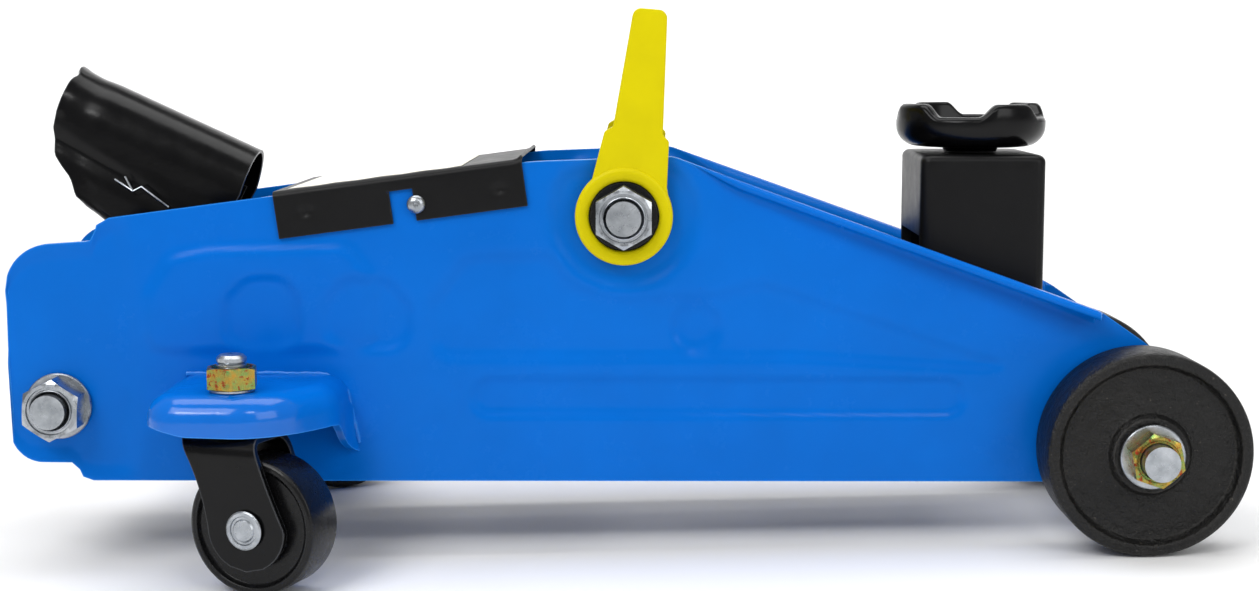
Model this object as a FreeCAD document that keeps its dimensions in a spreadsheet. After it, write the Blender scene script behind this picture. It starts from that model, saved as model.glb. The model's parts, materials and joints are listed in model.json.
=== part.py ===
import FreeCAD, Part
import Sketcher
import math
import os
import re

# Two-tonne hydraulic trolley jack.
#
# Every sub-part is drawn in chassis coordinates, in millimetres: X forward towards the load
# wheels, Y to the left, Z up from the lower edge of the two side plates, with Y = 0 midway
# between them. The finished jack then stands on its wheels: the whole chassis is pitched
# nose-down by the angle that puts both pairs of wheels on the floor, and moved so that the
# origin is the bottom centre of the box around it.

V = FreeCAD.Vector
DOC = FreeCAD.newDocument("TrolleyJack")
SHEET = DOC.addObject("Spreadsheet::Sheet", "Sizes")

SIZES = [
    # frame
    ("plate_gap", 80.0, "clear width between the two side plates"),
    ("plate_wall", 3.0, "side plate sheet thickness"),
    ("plate_rear", -217.7, "rear end of the side plates"),
    ("plate_front", 196.0, "front end of the side plates"),
    ("rear_low", 6.5, "underside of the rear lobe"),
    ("rear_step", -192.0, "rear end of the straight lower edge"),
    ("rear_top", 83.5, "top of the rear lobe"),
    ("lobe_low_round", 21.0, "lower corner radius of the rear lobe"),
    ("lobe_top_round", 27.0, "upper corner radius of the rear lobe"),
    ("deck_start", -186.0, "rear end of the top edge"),
    ("deck_rear", 92.0, "height of the top edge at its rear end"),
    ("deck_kink", -34.3, "where the top edge levels off"),
    ("deck_kink_top", 112.3, "height of the top edge where it levels off"),
    ("deck_peak", 15.5, "where the top edge turns down to the nose"),
    ("deck_peak_top", 114.0, "height of the highest point of the top edge"),
    ("nose_start", 164.0, "front end of the sloping edge"),
    ("nose_top", 60.5, "height of the front end of the sloping edge"),
    ("step_round", 2.5, "corner radius of the two steps at the rear lobe"),
    ("nose_round", 14.0, "corner radius of the nose"),
    ("nose_shoulder", 44.0, "height of the front corner"),
    ("flange_start", 24.0, "where the outward flange begins on the slope"),
    ("flange_root", 1.0, "flange width where it begins"),
    ("flange_tip", 12.0, "flange width at its front end"),
    # fits
    ("run_clear", 0.05, "radial clearance of a running fit"),
    ("bolt_clear", 0.15, "radial clearance of a bolt in its hole"),
    ("part_gap", 0.4, "side clearance between moving faces"),
    # fasteners
    ("big_bolt_rad", 6.0, "radius of the lift pivot and rear tie bolt ends"),
    ("big_nut_flats", 19.0, "width across flats of the large nuts"),
    ("big_nut_tall", 10.0, "height of the large nuts"),
    ("big_tail", 3.0, "thread showing past a large nut"),
    ("small_nut_flats", 16.0, "width across flats of the wheel and caster nuts"),
    ("small_nut_tall", 8.0, "height of the wheel and caster nuts"),
    # lift pivot and arm
    ("pivot_x", -1.9, "lift pivot, forward"),
    ("pivot_z", 93.6, "lift pivot, up"),
    ("pivot_rad", 10.0, "lift pivot shaft radius between the plates"),
    ("boss_rad", 12.0, "radius of the shoulder washer inside the carry handle ring"),
    ("boss_tall", 3.0, "thickness of the shoulder washer"),
    ("saddle_x", 122.0, "saddle pin, forward"),
    ("saddle_z", 62.0, "saddle pin, up"),
    ("saddle_pin_rad", 6.0, "saddle pin radius"),
    ("arm_out", 23.0, "outer half width of the lift arm"),
    ("arm_wall", 5.0, "lift arm cheek thickness"),
    ("arm_hub_rad", 16.0, "lift arm boss radius at the pivot"),
    ("arm_nose_rad", 12.0, "lift arm end radius at the saddle pin"),
    ("lever_back", 24.0, "ram pin behind the lift pivot, arm lowered"),
    ("lever_drop", 41.6, "ram pin below the lift pivot, arm lowered"),
    ("lever_rad", 11.0, "lift arm boss radius at the ram pin"),
    ("ram_pin_rad", 5.0, "ram pin radius"),
    ("ram_bush_rad", 8.0, "ram bush radius"),
    # saddle
    ("block_back", 19.0, "rear face of the saddle bracket behind the saddle pin"),
    ("block_ahead", 25.3, "front face of the saddle bracket ahead of the saddle pin"),
    ("block_half", 27.5, "outer half width of the saddle bracket"),
    ("block_top", 113.8, "top face of the saddle bracket"),
    ("block_wall", 4.0, "saddle bracket wall"),
    ("cup_ahead", 2.5, "saddle centre ahead of the saddle pin"),
    ("cup_rad", 27.2, "saddle radius"),
    ("cup_top", 131.5, "top of the saddle teeth"),
    ("cup_low", 115.8, "underside of the saddle"),
    ("cup_floor", 124.0, "floor of the saddle cup"),
    ("cup_wall", 5.5, "wall of the saddle cup"),
    ("cup_round", 8.0, "rounding of the saddle's lower edge"),
    ("tooth_gap", 24.0, "width of the gaps between the four saddle teeth"),
    ("tooth_tall", 4.6, "height of the saddle teeth"),
    ("saddle_turn", -19.0, "how the saddle is turned on its stem, in degrees"),
    ("stem_rad", 8.0, "saddle stem radius"),
    ("rear_lip", 84.0, "lower edge of the saddle bracket's rear wall"),
    # radius rods
    ("rod_ahead", 8.0, "radius rod pins ahead of the arm's pins"),
    ("rod_under", 24.0, "radius rod pins under the arm's pins"),
    ("rod_pin_rad", 5.0, "radius rod pin radius"),
    ("rod_wall", 5.0, "radius rod bar thickness"),
    ("rod_in", 29.0, "inner face of a radius rod"),
    ("rod_end_rad", 8.0, "radius rod end radius"),
    # hydraulic unit
    ("tie_x", -200.0, "rear tie bolt, forward"),
    ("tie_z", 26.8, "rear tie bolt, up"),
    ("lug_rad", 12.0, "rear lug of the pump base"),
    ("base_rear", -198.0, "rear face of the pump base"),
    ("base_front", -140.0, "front face of the pump base"),
    ("base_half", 32.0, "half width of the pump base"),
    ("base_low", 16.0, "underside of the pump base"),
    ("base_top", 60.0, "top of the pump base"),
    ("ram_z", 48.0, "height of the ram axis"),
    ("tank_rad", 26.0, "outer radius of the reservoir"),
    ("tank_wall", 2.5, "reservoir wall"),
    ("tank_front", -66.0, "front end of the reservoir"),
    ("barrel_rad", 16.0, "outer radius of the ram cylinder"),
    ("bore_rad", 12.0, "bore radius of the ram cylinder"),
    ("gland_long", 14.0, "length of the gland nut"),
    ("ram_rad", 10.0, "ram rod radius"),
    ("piston_long", 12.0, "ram piston length"),
    ("ram_head_long", 10.0, "ram head length"),
    ("ram_head_rad", 13.0, "ram head radius"),
    ("ram_gap", 0.8, "gap between the ram head and the ram bush"),
    # pump and handle socket
    ("socket_x", -164.0, "handle socket pivot, forward"),
    ("socket_z", 85.0, "handle socket pivot, up"),
    ("socket_pin_rad", 5.0, "handle socket pivot radius"),
    ("crank_rad", 22.0, "pump pin distance from the socket pivot"),
    ("crank_dip", 22.5, "pump pin below level at rest, in degrees"),
    ("pump_pin_rad", 4.0, "pump pin radius"),
    ("plunger_rad", 6.0, "pump plunger radius"),
    ("pump_top", 68.0, "top of the pump cylinder"),
    ("pump_rad", 10.0, "pump cylinder radius"),
    ("tube_rise", 24.9, "slope of the handle socket tube, in degrees"),
    ("tube_long", 70.0, "length of the handle socket tube"),
    ("tube_lift", 22.4, "tube axis above the socket pivot, square to the tube"),
    ("tube_ahead", 12.5, "front end of the tube ahead of the socket pivot"),
    ("tube_rad", 16.5, "outer radius of the handle socket tube"),
    ("tube_bore", 14.0, "bore radius of the handle socket tube"),
    ("cheek_in", 14.5, "inner face of a socket cheek"),
    ("cheek_wall", 3.0, "socket cheek thickness"),
    ("ear_in", 19.5, "inner face of a pump base ear"),
    ("ear_wall", 7.0, "pump base ear thickness"),
    ("ear_rad", 8.5, "pump base ear radius"),
    # wheels
    ("axle_x", 176.9, "front axle, forward"),
    ("axle_z", 14.0, "front axle, up"),
    ("axle_rad", 6.0, "front axle radius"),
    ("wheel_rad", 35.0, "front wheel radius"),
    ("wheel_off", 2.0, "gap from a side plate to the inner face of its front wheel"),
    ("wheel_wide", 22.0, "front wheel width"),
    ("wheel_dish", 3.0, "depth of the wheel's dished face"),
    ("wheel_rim", 4.7, "width of the wheel's rim"),
    ("wheel_hub", 13.3, "wheel hub radius"),
    # casters
    ("caster_x", -131.7, "caster stem, forward"),
    ("caster_off", 35.5, "caster stem out from the side plate"),
    ("caster_turn", 19.0, "caster swivel angle at rest, in degrees"),
    ("caster_trail", 10.9, "caster wheel behind its stem"),
    ("caster_low", -5.5, "caster wheel centre height"),
    ("roller_rad", 23.0, "caster wheel radius"),
    ("roller_wide", 18.0, "caster wheel width"),
    ("fork_wall", 2.5, "caster fork sheet thickness"),
    ("fork_top", 24.6, "top face of the caster fork"),
    ("fork_gap", 1.0, "gap each side of the caster wheel"),
    ("stem_bolt_rad", 5.0, "caster stem radius"),
    ("shelf_top", 39.5, "top face of the caster shelf"),
    ("shelf_wall", 3.0, "caster bracket sheet thickness"),
    ("shelf_rear", -153.6, "rear side of the caster shelf"),
    ("shelf_front", -99.5, "front side of the caster shelf"),
    ("shelf_reach", 50.0, "how far the caster shelf stands out from its plate"),
    ("shelf_round", 20.0, "corner radius of the shelf"),
    ("web_out", 26.0, "reach of a caster bracket's web under the shelf"),
    ("web_foot", 8.0, "width of a web's foot"),
    ("web_front_deep", 28.0, "depth of the front web below the shelf's top"),
    ("web_rear_deep", 20.0, "depth of the rear web below the shelf's top"),
    ("skirt_deep", 14.0, "depth of the shelf's turned-down rim"),
    # cover and carry handle
    ("cover_rear", -123.4, "rear end of the top cover"),
    ("cover_front", -36.4, "front end of the top cover"),
    ("cover_wall", 1.2, "top cover sheet thickness"),
    ("cover_deep", 15.5, "depth of the cover's side skirts"),
    ("cover_screw_x", -73.7, "cover screw, forward"),
    ("cover_screw_drop", 9.4, "cover screw below the top edge"),
    ("ring_rad", 16.9, "outer radius of the carry handle rings"),
    ("ring_wall", 5.0, "thickness of the carry handle rings"),
    ("grip_tall", 71.5, "top of the carry handle above the lift pivot"),
]


def fill_sheet():
    for row, (alias, value, meaning) in enumerate(SIZES, 1):
        SHEET.set("A%d" % row, meaning)
        SHEET.set("B%d" % row, str(value))
        SHEET.setAlias("B%d" % row, alias)
    DOC.recompute()


def num(alias):
    return float(SHEET.get(alias))


def sized(formula):
    """Point each size named in a formula at its cell in the sheet."""
    return re.sub(r"\b[a-z]+(?:_[a-z]+)+\b", r"Sizes.\g<0>", str(formula))


# --- building blocks -------------------------------------------------------------------

PLANE = {"X": "YZ_Plane", "Y": "XZ_Plane", "Z": "XY_Plane"}


def new_body(name):
    body = DOC.addObject("PartDesign::Body", name)
    body.Label = name
    body.AllowCompound = True
    return body


def origin_plane(body, axis):
    return [f for f in body.Origin.OriginFeatures if f.Role == PLANE[axis]][0]


def seat(feature, body, axis, offsets):
    """Attach a feature to the body's plane across an axis, at offsets in that plane's frame."""
    feature.AttachmentSupport = [(origin_plane(body, axis), "")]
    feature.MapMode = "FlatFace"
    for letter, formula in zip("xyz", offsets):
        feature.setExpression("AttachmentOffset.Base." + letter, sized(formula))


def along(axis, start, length, first, second):
    """Offsets of a solid that runs from start by length along an axis."""
    if axis == "Y":
        return (first, second, "-(%s)-(%s)" % (start, length))
    return (first, second, start)


def rod(body, axis, start, length, first, second, radius, cut=False):
    """A cylinder along an axis. first and second are its other two coordinates, in order."""
    kind = "PartDesign::SubtractiveCylinder" if cut else "PartDesign::AdditiveCylinder"
    feature = body.newObject(kind, "rod")
    seat(feature, body, axis, along(axis, start, length, first, second))
    feature.setExpression("Radius", sized(radius))
    feature.setExpression("Height", sized(length))
    return feature


def cone(body, axis, start, length, first, second, radius_low, radius_high, cut=False):
    kind = "PartDesign::SubtractiveCone" if cut else "PartDesign::AdditiveCone"
    feature = body.newObject(kind, "cone")
    seat(feature, body, axis, along(axis, start, length, first, second))
    feature.setExpression("Radius1", sized(radius_low))
    feature.setExpression("Radius2", sized(radius_high))
    feature.setExpression("Height", sized(length))
    return feature


def hexagon(body, axis, start, length, first, second, flats):
    feature = body.newObject("PartDesign::AdditivePrism", "hexagon")
    feature.Polygon = 6
    seat(feature, body, axis, along(axis, start, length, first, second))
    feature.setExpression("Circumradius", sized("(%s) / sqrt(3)" % flats))
    feature.setExpression("Height", sized(length))
    return feature


def box(body, low, high, cut=False):
    kind = "PartDesign::SubtractiveBox" if cut else "PartDesign::AdditiveBox"
    feature = body.newObject(kind, "box")
    seat(feature, body, "Z", low)
    for side, a, b in zip(("Length", "Width", "Height"), low, high):
        feature.setExpression(side, sized("(%s)-(%s)" % (b, a)))
    return feature


def outline(body, axis, points, level):
    """A closed polygon in the plane across an axis, each corner held by two dimensions."""
    sketch = body.newObject("Sketcher::SketchObject", "outline")
    seat(sketch, body, axis, ("0", "0", "-(%s)" % level if axis == "Y" else level))
    place_polygon(sketch, points)
    return sketch


def slab(body, axis, points, low, high, rounds=None, cut=False):
    """A polygon pulled from low to high along an axis. rounds maps a radius to its corners."""
    toward_start = (axis == "Y") != cut
    sketch = outline(body, axis, points, high if toward_start else low)
    kind = "PartDesign::Pocket" if cut else "PartDesign::Pad"
    feature = body.newObject(kind, "pocket" if cut else "pad")
    feature.Profile = sketch
    feature.setExpression("Length", sized("(%s)-(%s)" % (high, low)))
    before = feature
    DOC.recompute()
    for radius, corners in (rounds or {}).items():
        feature = round_corners(body, before, sketch, corners, radius)
        before = feature
    return feature


def round_corners(body, feature, sketch, corners, radius):
    """Fillet the edges that stand on the given corners of a sketch."""
    frame = sketch.Placement
    normal = frame.Rotation.multVec(V(0, 0, 1))
    names = []
    for corner in corners:
        point = frame.multVec(sketch.getPoint(corner, 1))
        for number, edge in enumerate(feature.Shape.Edges, 1):
            if not isinstance(edge.Curve, Part.Line):
                continue
            if abs(abs(edge.Curve.Direction.dot(normal)) - 1) > 1e-6:
                continue
            if (point - edge.Curve.Location).cross(edge.Curve.Direction).Length < 1e-4:
                names.append("Edge%d" % number)
    fillet = body.newObject("PartDesign::Fillet", "round")
    fillet.Base = (feature, names)
    fillet.setExpression("Radius", sized(radius))
    DOC.recompute()
    return fillet


def span(side, near, far):
    """Low and high Y of something between two distances from the middle, on one side."""
    if side > 0:
        return "(%s)" % near, "(%s)" % far
    return "-(%s)" % far, "-(%s)" % near


def ring(body, side, near, far, x, z, radius, bore=None):
    """A disc or ring across Y between two distances from the middle, on one side."""
    low, high = span(side, near, far)
    length = "(%s)-(%s)" % (high, low)
    rod(body, "Y", low, length, x, z, radius)
    if bore:
        rod(body, "Y", low, length, x, z, bore, cut=True)


PLATE_OUT = "(plate_gap / 2 + plate_wall)"
WHEEL_IN = "(plate_gap / 2 + plate_wall + wheel_off)"
WHEEL_OUT = "(plate_gap / 2 + plate_wall + wheel_off + wheel_wide)"
CASTER_Y = "(plate_gap / 2 + plate_wall + caster_off)"
BLOCK_REAR = "(saddle_x - block_back)"
BLOCK_FRONT = "(saddle_x + block_ahead)"
CUP_X = "(saddle_x + cup_ahead)"


# --- frame -----------------------------------------------------------------------------

PLATE_ROUNDS = {
    "lobe_low_round": [2],
    "lobe_top_round": [3],
    "nose_round": [9, 10],
    "step_round": [1, 4, 5],
}


def side_plate(name, side):
    body = new_body(name)
    points = [
        ("rear_step", "0"),
        ("rear_step - 2.5", "rear_low"),
        ("plate_rear", "rear_low"),
        ("plate_rear", "rear_top"),
        ("deck_start - 3", "rear_top + 1"),
        ("deck_start", "deck_rear"),
        ("deck_kink", "deck_kink_top"),
        ("deck_peak", "deck_peak_top"),
        ("nose_start", "nose_top"),
        ("plate_front", "nose_shoulder"),
        ("plate_front", "0"),
    ]
    low, high = span(side, "plate_gap / 2", PLATE_OUT)
    slab(body, "Y", points, low, high, PLATE_ROUNDS)
    flange(body, side)
    holes = [
        ("pivot_x", "pivot_z", "big_bolt_rad"),
        ("tie_x", "tie_z", "big_bolt_rad"),
        ("axle_x", "axle_z", "axle_rad"),
    ]
    for x, z, radius in holes:
        rod(body, "Y", low, "plate_wall", x, z, radius + " + bolt_clear", cut=True)
    rod(body, "Y", low, "plate_wall", "cover_screw_x", COVER_SCREW_Z, "2.2", cut=True)
    return body


def flange(body, side):
    """The strip along the sloping edge, turned outwards and wider towards the nose."""
    sketch = body.newObject("Sketcher::SketchObject", "flange")
    slope = "atan((deck_peak_top - nose_top) / (nose_start - deck_peak))"
    run = "sqrt((deck_peak_top - nose_top)^2 + (nose_start - deck_peak)^2)"
    start = "(flange_start - deck_peak) / cos(%s)" % slope
    sketch.AttachmentSupport = [(origin_plane(body, "Z"), "")]
    sketch.MapMode = "FlatFace"
    sketch.AttachmentOffset = FreeCAD.Placement(V(), FreeCAD.Rotation(V(0, 1, 0), 19.8))
    sketch.setExpression("AttachmentOffset.Base.x", sized("deck_peak"))
    sketch.setExpression("AttachmentOffset.Base.z", sized("deck_peak_top"))
    sketch.setExpression("AttachmentOffset.Rotation.Angle", sized(slope))
    inner = "%d * (%s - 0.5)" % (side, PLATE_OUT)
    corners = [
        (start, inner),
        (run, inner),
        (run, "%d * (%s + flange_tip)" % (side, PLATE_OUT)),
        (start, "%d * (%s + flange_root)" % (side, PLATE_OUT)),
    ]
    place_polygon(sketch, corners)
    pad = body.newObject("PartDesign::Pad", "flange_pad")
    pad.Profile = sketch
    pad.Reversed = True
    pad.setExpression("Length", sized("plate_wall"))
    return pad


def place_polygon(sketch, points):
    count = len(points)
    spread = [
        V(100 * math.cos(2 * math.pi * i / count), 100 * math.sin(2 * math.pi * i / count), 0)
        for i in range(count)
    ]
    sides = [Part.LineSegment(spread[i], spread[(i + 1) % count]) for i in range(count)]
    sketch.addGeometry(sides, False)
    for i in range(count):
        sketch.addConstraint(Sketcher.Constraint("Coincident", i, 2, (i + 1) % count, 1))
    for i, (first, second) in enumerate(points):
        for kind, start, formula in (
            ("DistanceX", spread[i].x, first),
            ("DistanceY", spread[i].y, second),
        ):
            index = sketch.addConstraint(Sketcher.Constraint(kind, i, 1, start))
            sketch.setExpression("Constraints[%d]" % index, sized(formula))


DECK_SLOPE = "((deck_kink_top - deck_rear) / (deck_kink - deck_start))"


def deck(x):
    """Height of the plates' top edge at x, between its rear end and its kink."""
    return "(deck_rear + (%s - deck_start) * %s)" % (x, DECK_SLOPE)


COVER_SCREW_Z = "%s - cover_screw_drop" % deck("cover_screw_x")


def top_cover():
    """A folded sheet over both plates, with a skirt down the outside of each."""
    body = new_body("top_cover")
    half = "%s + 0.3 + cover_wall" % PLATE_OUT
    over = "0.3 + cover_wall"
    points = [
        ("cover_rear", "%s + %s" % (deck("cover_rear"), over)),
        ("cover_front", "%s + %s" % (deck("cover_front"), over)),
        ("cover_front", "%s + 0.3 - cover_deep" % deck("cover_front")),
        ("cover_rear", "%s + 0.3 - cover_deep" % deck("cover_rear")),
    ]
    slab(body, "Y", points, "-(%s)" % half, half)
    hollow = [
        ("cover_rear - 1", "%s + 0.3" % deck("cover_rear - 1")),
        ("cover_front + 1", "%s + 0.3" % deck("cover_front + 1")),
        ("cover_front + 1", "deck_rear - 30"),
        ("cover_rear - 1", "deck_rear - 30"),
    ]
    inner = "%s + 0.3" % PLATE_OUT
    slab(body, "Y", hollow, "-(%s)" % inner, inner, cut=True)
    slot_low = ("cover_screw_x - 10", "%s - cover_deep - 4" % deck("cover_screw_x"))
    slot_high = ("cover_screw_x - 1.5", "%s - 2.5" % deck("cover_screw_x"))
    box(
        body,
        (slot_low[0], "-(%s) - 1" % half, slot_low[1]),
        (slot_high[0], "%s + 1" % half, slot_high[1]),
        cut=True,
    )
    rod(body, "Y", "-(%s) - 1" % half, "2 * (%s) + 2" % half, "cover_screw_x", COVER_SCREW_Z,
        "2.2", cut=True)
    return body


def cover_screws():
    body = new_body("cover_screws")
    skirt = PLATE_OUT + " + 0.3 + cover_wall"
    for side in (-1, 1):
        ring(body, side, skirt, skirt + " + 2", "cover_screw_x", COVER_SCREW_Z, "2.9")
        ring(body, side, "plate_gap / 2", skirt, "cover_screw_x", COVER_SCREW_Z, "2")
    return body


# --- shafts, bolts, washers and nuts -----------------------------------------------------

def through_bolt(name, x, z, end_radius, end_reach, mid_radius=None):
    """A shaft across both plates, with a stouter middle between them if it has one."""
    body = new_body(name)
    rod(body, "Y", "-(%s)" % end_reach, "2 * (%s)" % end_reach, x, z, end_radius)
    if mid_radius:
        rod(body, "Y", "-plate_gap / 2 + 0.1", "plate_gap - 0.2", x, z, mid_radius)
    return body


def washer_pair(name, x, z, near, thick, radius, bore):
    body = new_body(name)
    for side in (-1, 1):
        ring(body, side, near, "%s + %s" % (near, thick), x, z, radius, bore)
    return body


def nut_pair(name, x, z, near, tall, flats, bore):
    body = new_body(name)
    for side in (-1, 1):
        low, high = span(side, near, "%s + %s" % (near, tall))
        hexagon(body, "Y", low, tall, x, z, flats)
        rod(body, "Y", low, tall, x, z, bore, cut=True)
    return body


PIVOT_NUT = "(plate_gap / 2 + plate_wall + boss_tall)"


def shafts_and_nuts():
    bolt_bore = "big_bolt_rad + bolt_clear"
    parts = [
        through_bolt("lift_pivot_shaft", "pivot_x", "pivot_z", "big_bolt_rad",
                     PIVOT_NUT + " + big_nut_tall + big_tail", "pivot_rad"),
        washer_pair("pivot_shoulder_washers", "pivot_x", "pivot_z", PLATE_OUT, "boss_tall",
                    "boss_rad", bolt_bore),
        nut_pair("lift_pivot_nuts", "pivot_x", "pivot_z", PIVOT_NUT, "big_nut_tall",
                 "big_nut_flats", bolt_bore),
        through_bolt("rear_tie_bolt", "tie_x", "tie_z", "big_bolt_rad",
                     PLATE_OUT + " + 2 + big_nut_tall + big_tail"),
        washer_pair("rear_tie_washers", "tie_x", "tie_z", PLATE_OUT, "2", "11.6", bolt_bore),
        nut_pair("rear_tie_nuts", "tie_x", "tie_z", PLATE_OUT + " + 2", "big_nut_tall",
                 "big_nut_flats", bolt_bore),
        through_bolt("front_axle", "axle_x", "axle_z", "axle_rad",
                     WHEEL_OUT + " + 2.6 + small_nut_tall + 4"),
        washer_pair("front_wheel_washers", "axle_x", "axle_z", WHEEL_OUT + " + 0.6", "2", "11",
                    "axle_rad + bolt_clear"),
        nut_pair("front_wheel_nuts", "axle_x", "axle_z", WHEEL_OUT + " + 2.6", "small_nut_tall",
                 "small_nut_flats", "axle_rad + bolt_clear"),
    ]
    return parts


def front_axle_spacer():
    body = new_body("front_axle_spacer")
    rod(body, "Y", "-plate_gap / 2", "plate_gap", "axle_x", "axle_z", "axle_rad + 4")
    rod(body, "Y", "-plate_gap / 2", "plate_gap", "axle_x", "axle_z", "axle_rad + bolt_clear",
        cut=True)
    return body


def frame_pins():
    """Stub pins on the inside of each plate, which the radius rods swing on."""
    body = new_body("radius_rod_pins")
    for side in (-1, 1):
        ring(body, side, "rod_in - 1", "plate_gap / 2", "pivot_x + rod_ahead",
             "pivot_z - rod_under", "rod_pin_rad")
    return body


# --- wheels ----------------------------------------------------------------------------

def front_wheel(name, side):
    body = new_body(name)
    low, high = span(side, WHEEL_IN, WHEEL_OUT)
    rod(body, "Y", low, "wheel_wide", "axle_x", "axle_z", "wheel_rad")
    hub_low, hub_high = span(side, PLATE_OUT + " + part_gap", WHEEL_IN)
    rod(body, "Y", hub_low, "(%s)-(%s)" % (hub_high, hub_low), "axle_x", "axle_z", "wheel_hub")
    for near, far in ((WHEEL_OUT + " - wheel_dish", WHEEL_OUT),
                      (WHEEL_IN, WHEEL_IN + " + wheel_dish")):
        ring_low, ring_high = span(side, near, far)
        groove = wheel_groove(body, ring_low, ring_high)
    low, high = span(side, PLATE_OUT, WHEEL_OUT)
    rod(body, "Y", low, "%s - (%s)" % (high, low), "axle_x", "axle_z", "axle_rad + run_clear",
        cut=True)
    return body


def wheel_groove(body, low, high):
    """The dished ring between the wheel's rim and its hub."""
    sketch = body.newObject("Sketcher::SketchObject", "groove")
    seat(sketch, body, "Y", ("0", "0", "-(%s)" % low))
    outer = sketch.addGeometry(Part.Circle(V(0, 0, 0), V(0, 0, 1), 30), False)
    inner = sketch.addGeometry(Part.Circle(V(0, 0, 0), V(0, 0, 1), 13), False)
    sketch.addConstraint(Sketcher.Constraint("Coincident", inner, 3, outer, 3))
    held = [
        ("DistanceX", (outer, 3, 1.0), "axle_x"),
        ("DistanceY", (outer, 3, 1.0), "axle_z"),
        ("Radius", (outer, 30.0), "wheel_rad - wheel_rim"),
        ("Radius", (inner, 13.0), "wheel_hub"),
    ]
    for kind, place, formula in held:
        index = sketch.addConstraint(Sketcher.Constraint(kind, *place))
        sketch.setExpression("Constraints[%d]" % index, sized(formula))
    pocket = body.newObject("PartDesign::Pocket", "dish")
    pocket.Profile = sketch
    pocket.setExpression("Length", sized("(%s)-(%s)" % (high, low)))
    return pocket


def caster_bracket(name, side):
    """A pressed shelf on the outside of a plate, with a turned-down rim."""
    body = new_body(name)
    far = "%s + shelf_reach" % PLATE_OUT
    points = [
        ("shelf_rear", "%d * %s" % (side, PLATE_OUT)),
        ("shelf_front", "%d * %s" % (side, PLATE_OUT)),
        ("shelf_front", "%d * (%s)" % (side, far)),
        ("shelf_rear", "%d * (%s)" % (side, far)),
    ]
    shelf = slab(body, "Z", points, "shelf_top - skirt_deep", "shelf_top")
    inset = [
        ("shelf_rear + shelf_wall", "%d * (%s - 1)" % (side, PLATE_OUT)),
        ("shelf_front - shelf_wall", "%d * (%s - 1)" % (side, PLATE_OUT)),
        ("shelf_front - shelf_wall", "%d * (%s - shelf_wall)" % (side, far)),
        ("shelf_rear + shelf_wall", "%d * (%s - shelf_wall)" % (side, far)),
    ]
    hollow = slab(body, "Z", inset, "shelf_top - skirt_deep - 1", "shelf_top - shelf_wall",
                  {"shelf_round - shelf_wall": [2, 3]}, cut=True)
    round_corners(body, hollow, shelf.Profile[0], [2, 3], "shelf_round")
    rod(body, "Z", "shelf_top - shelf_wall", "shelf_wall", "caster_x", "%d * %s" % (side, CASTER_Y),
        "stem_bolt_rad + bolt_clear", cut=True)
    for front in (False, True):
        caster_gusset(body, side, front)
    return body


def caster_gusset(body, side, front):
    """A web from the shelf's edge down the plate."""
    edge = "shelf_front - shelf_wall" if front else "shelf_rear"
    drop = "web_front_deep" if front else "web_rear_deep"
    low = "shelf_top - skirt_deep"
    near = "%d * %s" % (side, PLATE_OUT)
    points = [
        (near, low + " + 0.5"),
        ("%d * (%s + web_out)" % (side, PLATE_OUT), low + " + 0.5"),
        ("%d * (%s + web_foot)" % (side, PLATE_OUT), "shelf_top - %s + 4" % drop),
        (near, "shelf_top - " + drop),
    ]
    return slab(body, "X", points, edge, edge + " + shelf_wall")


def caster_hardware(side_name, side):
    y = "%d * %s" % (side, CASTER_Y)
    stem = new_body("caster_stem_" + side_name)
    head_top = "fork_top - fork_wall - 0.3"
    rod(stem, "Z", head_top + " - 2.6", "2.6", "caster_x", y, "8")
    rod(stem, "Z", head_top, "shelf_top + 1.5 + small_nut_tall + 4.5 - (%s)" % head_top,
        "caster_x", y, "stem_bolt_rad")
    cup = new_body("caster_bearing_cup_" + side_name)
    cup_low = "fork_top + 0.3"
    cup_long = "shelf_top - shelf_wall - fork_top - 0.3"
    cone(cup, "Z", cup_low, cup_long, "caster_x", y, "11", "9.5")
    rod(cup, "Z", cup_low, cup_long, "caster_x", y, "stem_bolt_rad + bolt_clear", cut=True)
    washer = new_body("caster_washer_" + side_name)
    rod(washer, "Z", "shelf_top", "1.5", "caster_x", y, "10.5")
    rod(washer, "Z", "shelf_top", "1.5", "caster_x", y, "stem_bolt_rad + bolt_clear", cut=True)
    nut = new_body("caster_nut_" + side_name)
    hexagon(nut, "Z", "shelf_top + 1.5", "small_nut_tall", "caster_x", y, "small_nut_flats")
    rod(nut, "Z", "shelf_top + 1.5", "small_nut_tall", "caster_x", y,
        "stem_bolt_rad + bolt_clear", cut=True)
    return [stem, cup, washer, nut]


# A caster's fork, wheel and axle are drawn about its stem, with the wheel trailing along X.

FORK_IN = "(roller_wide / 2 + fork_gap)"


def caster_fork(name):
    body = new_body(name)
    cheek = [
        ("-12", "fork_top"),
        ("12", "fork_top"),
        ("caster_trail + 13", "caster_low + 4"),
        ("caster_trail + 13", "caster_low - 13"),
        ("caster_trail - 13", "caster_low - 13"),
        ("caster_trail - 15", "caster_low + 4"),
    ]
    outer = FORK_IN + " + fork_wall"
    slab(body, "Y", cheek, "-(%s)" % outer, outer, {"9": [3, 4], "6": [2, 5]})
    box(body, ("-40", "-%s" % FORK_IN, "caster_low - 30"),
        ("60", FORK_IN, "fork_top - fork_wall"), cut=True)
    rod(body, "Z", "fork_top - fork_wall", "fork_wall", "0", "0", "stem_bolt_rad + run_clear",
        cut=True)
    rod(body, "Y", "-(%s)" % outer, "2 * (%s)" % outer, "caster_trail", "caster_low",
        "4 + bolt_clear", cut=True)
    return body


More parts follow.
